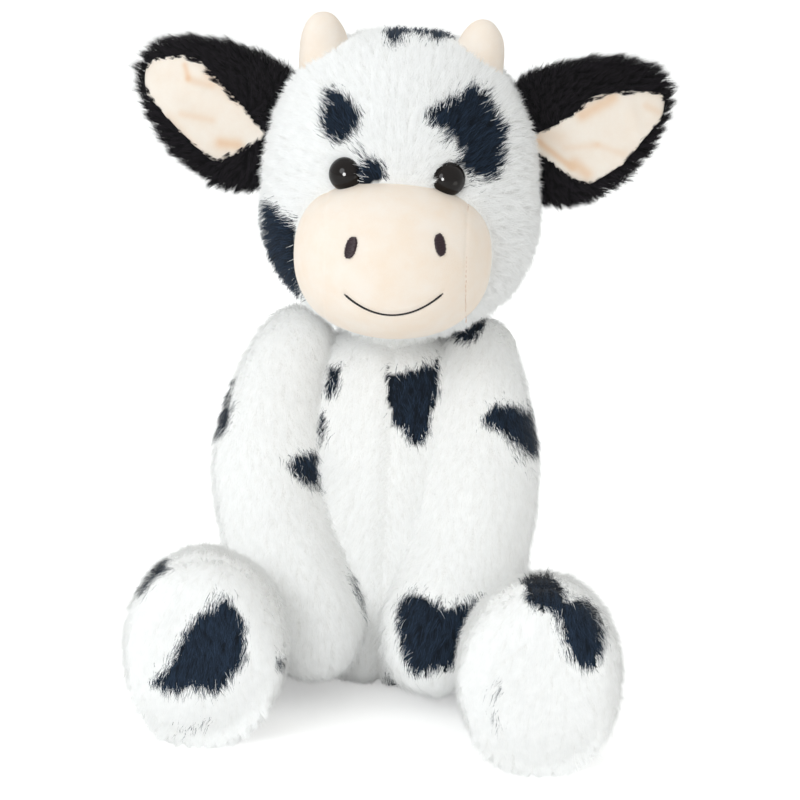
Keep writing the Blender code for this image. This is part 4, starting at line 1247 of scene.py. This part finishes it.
def make_lining(side, form, cup_way):
    """Smooth cloth in the ear's cup, with soft folds along it and painted shade in its creases."""
    draft, points, normals = closed_piece("draft", form, 1.0 * MM, UNDERCOAT + 0.6 * MM, LINING)
    faces = faces_of(draft)
    bpy.data.objects.remove(draft)
    pixels = in_photo(points)
    outline = np.array(LININGS[side], float)
    outline = outline.mean(0) + (outline - outline.mean(0)) * 1.08
    wanted = inside_outline(pixels, outline) & (normals @ cup_way > 0.1)
    push = 0.15 * MM * (1 + noise(points, 8 * MM, 16))
    for start, end, width, height in FOLDS[side]:
        share, off = beside_line(pixels, start, end)
        push += height * MM * np.exp(-(off / width) ** 2) * np.sqrt(np.sin(math.pi * np.clip(share, 0.02, 0.98)))
    # Painted shade along the creases
    painted_shade = np.zeros(len(points))
    for start, end, width, strength in PAINTED_CREASE_SHADES[side]:
        painted_shade += strength * np.exp(-(beside_line(pixels, start, end)[1] / width) ** 2)
    chosen = [wanted[list(face)].all() for face in faces]
    points, faces, used = keep_faces(points + normals * push[:, None], faces, chosen)
    thing = add_mesh("ear_lining_cloth_" + side, points, faces, LINING)
    # The painted crease shade, as the points' colours
    paint(thing, 1 - np.clip(painted_shade, 0, 1)[used][:, None] * (1 - PAINTED_CREASE_SHADE_COLOUR))
    thick = thing.modifiers.new("cloth", "SOLIDIFY")
    thick.thickness = 1.2 * MM
    thick.offset = -1
    settle(thing, "ear_" + side, "peach_cloth", "ear_" + side + "_lining")


def make_arms():
    for side in SIDES:
        name = "arm_" + side
        way = unit(FORMS[name].spine[-1] - FORMS[name].spine[0])

        def to_hand(roots, facing):
            return way + 0.25 * sway(roots, 20 * MM, 41)

        base = undercoat(name + "_coat", FORMS[name], 0.7 * MM)
        coat(base, name, "white_pile", name + "_skin", name)
        grow_pile(name + "_pile", base, name, "white_pile", STRAND_COUNTS["arm"], PILE_LENGTH, to_hand, name,
                  covered(base, ("torso", LIMB_COVER)), lots=2, salt=40 + SIDES[side])


def make_legs():
    for side in SIDES:
        name = "leg_" + side
        spine = FORMS[name].spine
        way = unit(spine[-1] - spine[0])
        split = spine[-1][1] + SOLE_DEPTH

        def seam(points, normals):
            return -0.9 * MM * np.exp(-((points[:, 1] - split) / (2.2 * MM)) ** 2)

        def to_foot(roots, facing):
            return way * 0.8 - UP * 0.5 + 0.25 * sway(roots, 20 * MM, 51)

        def over_sole(roots, facing):
            """Down, and out to the sides near the rim."""
            away = (roots - spine[-1]) / (FOOT_WIDTH / 2)
            lay = np.column_stack((away[:, 0] * 0.5, np.full(len(roots), -0.7), away[:, 2] * 0.2 - 0.85))
            return lay + 0.35 * sway(roots, 15 * MM, 54)

        def shorter(roots, facing):
            """Short at the sole's seam and where the arm lies on the leg."""
            near = np.exp(-((roots[:, 1] - split) / (3 * MM)) ** 2)
            under = depth_inside(roots, TREES["arm_" + side]) > -PILE_CLEARANCE
            return np.where(under, 0.22, 1 - 0.25 * near)

        whole = undercoat(name + "_whole", FORMS[name], 0.8 * MM, shape=seam)
        points = points_of(whole)
        faces = faces_of(whole)
        bpy.data.objects.remove(whole)
        in_sole = np.array([points[list(face)].mean(0)[1] < split for face in faces])
        leg = add_mesh(name + "_coat", *keep_faces(points, faces, ~in_sole)[:2], COAT)
        sole = add_mesh("sole_" + side + "_coat", *keep_faces(points, faces, in_sole)[:2], COAT)
        coat(leg, name, "white_pile", name + "_skin", name)
        coat(sole, name, "white_pile", "sole_" + side, name)
        by_arm = ("arm_" + side, ARM_COVER)
        grow_pile(name + "_pile", leg, name, "white_pile", STRAND_COUNTS["leg"], PILE_LENGTH, to_foot, name,
                  covered(leg, ("torso", LIMB_COVER), by_arm), shorter, lots=2, salt=50 + SIDES[side])
        grow_pile("sole_" + side + "_pile", sole, name, "white_pile", STRAND_COUNTS["sole"], PILE_LENGTH, over_sole,
                  name, covered(sole, by_arm), shorter, salt=60 + SIDES[side])


def make_tail():
    """The cord falls and curves back from its root, with the tuft at its end."""
    low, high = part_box("tail_cord")
    radius = (high.x - low.x) / 2
    start = np.array((0.0, low.y + radius, high.z - radius))
    drop = UP * (high.z - low.z - 2 * radius)
    reach = FRONT * (high.y - low.y - 2 * radius)
    cord = Form([start - drop * fall - reach * out for fall, out in TAIL_SHARES], [radius] * 5, [radius] * 5, OUT,
                (2.5, 2.5))
    low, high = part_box("tail_tuft")
    radius = (high.x - low.x) / 2
    middle = np.array((0.0, (low.y + high.y) / 2, (low.z + high.z) / 2))
    half = UP * ((high.z - low.z) / 2)
    tuft = Form([middle + half, middle, middle - half], [radius] * 3, [radius] * 3, OUT, (2.2, 1.8))
    for name, node, form, lumps, slot, patches, count, length, salt in (
        ("tail", "tail_cord", cord, 0.1 * MM, "white_pile", "tail", STRAND_COUNTS["tail"], SHORT_PILE_LENGTH, 71),
        ("tail_tuft", "tail_tuft", tuft, 0.3 * MM, "black_pile", None, STRAND_COUNTS["tuft"], TUFT_PILE_LENGTH, 72),
    ):
        base = undercoat(name + "_coat", form, lumps, step=1.2 * MM)
        coat(base, "tail", slot, node, patches)
        bare = covered(base, ("torso", 2 * MM))
        grow_pile(name + "_pile", base, "tail", slot, count, length, combed_down, patches, bare, salt=salt)


def make_stage():
    """White paper that brightens to white where it is lit and keeps the shadow."""
    skin, tree, shader = new_material("floor_paper", 0.9, 0.0, 0.1)
    colour = add_ramp(tree, add_noise(tree, 8, 2), (0.93, 0.93, 0.93, 1), (0.96, 0.96, 0.96, 1))
    set_inputs(tree, shader, {"Base Color": colour})
    strength = add_node(tree, "Math", {0: seen_directly(tree), 1: FLOOR_GLOW}, operation="MULTIPLY")
    glow = add_node(tree, "Emission", {"Color": (1, 1, 1, 1), "Strength": strength})
    total = add_node(tree, "AddShader", {0: shader.outputs["BSDF"], 1: glow})
    set_inputs(tree, tree.nodes["Material Output"], {"Surface": total})
    reach = FLOOR_REACH
    corners = [(-reach, -reach, 0), (reach, -reach, 0), (reach, reach, 0), (-reach, reach, 0)]
    add_mesh("floor", corners, [(0, 1, 2, 3)], skin)


def add_lamp(name, place, size, power, colour=(1, 1, 1)):
    lamp = bpy.data.lights.new(name, "AREA")
    lamp.shape = "DISK"
    lamp.size = size
    lamp.energy = power
    lamp.color = colour
    thing = add_thing(name, lamp)
    thing.location = place
    thing.rotation_euler = (LAMP_TARGET - Vector(place)).to_track_quat("-Z", "Y").to_euler()
    return thing


def light_scene():
    """A soft white room, a little brighter from the photograph's left, and four lamps."""
    world = bpy.data.worlds.new("studio")
    bpy.context.scene.world = world
    world.use_nodes = True
    tree = world.node_tree
    way = add_node(tree, "SeparateXYZ", {"Vector": add_node(tree, "TexCoord", {}, "Generated")}, "X")
    strength = add_node(tree, "MapRange", {
        "Value": way, "From Min": -1, "To Min": ROOM_STRENGTH["left"], "To Max": ROOM_STRENGTH["right"],
    })
    soft = tree.nodes["Background"]
    set_inputs(tree, soft, {"Color": ROOM_WHITE, "Strength": strength})
    white = add_node(tree, "Background", {"Color": (1, 1, 1, 1), "Strength": 1})
    mix = add_node(tree, "MixShader", {"Fac": seen_directly(tree), 1: soft.outputs["Background"], 2: white})
    set_inputs(tree, tree.nodes["World Output"], {"Surface": mix})
    add_lamp("key", (-1.0, -1.4, 0.95), 0.9, 10.7, (0.95, 0.98, 1.0))
    add_lamp("bounce", (0.55, -0.42, 0.05), 0.3, 0.36, (1.0, 0.97, 0.92))
    add_lamp("top", (0.1, 0.5, 1.6), 0.8, 2.0)
    add_lamp("spark", (-0.56, -1.55, 0.43), 0.50, 30).visible_diffuse = False


def seen_directly(tree):
    """One for the camera's rays and for those that gloss or glass sends on."""
    path = tree.nodes.new("ShaderNodeLightPath")
    seen = path.outputs["Is Camera Ray"]
    for ray in ("Is Glossy Ray", "Is Transmission Ray"):
        seen = add_node(tree, "Math", {0: seen, 1: path.outputs[ray]}, operation="MAXIMUM")
    return seen


def add_camera():
    camera = add_thing("camera", bpy.data.cameras.new("camera"))
    camera.data.sensor_width = SENSOR
    camera.data.lens = SENSOR * DISTANCE / FRAME_WIDTH
    columns = np.column_stack((RIGHT, TOP, TO_CAMERA, TARGET + TO_CAMERA * DISTANCE))
    camera.matrix_world = Matrix(columns.tolist() + [[0, 0, 0, 1]])
    bpy.context.scene.camera = camera
    bpy.context.scene.view_settings.view_transform = "Standard"


dress_inner_nodes()
make_torso()
make_head()
make_muzzle()
make_nostrils()
make_mouth()
make_eyes()
make_horns()
make_ears()
make_arms()
make_legs()
make_tail()
make_stage()
light_scene()
add_camera()
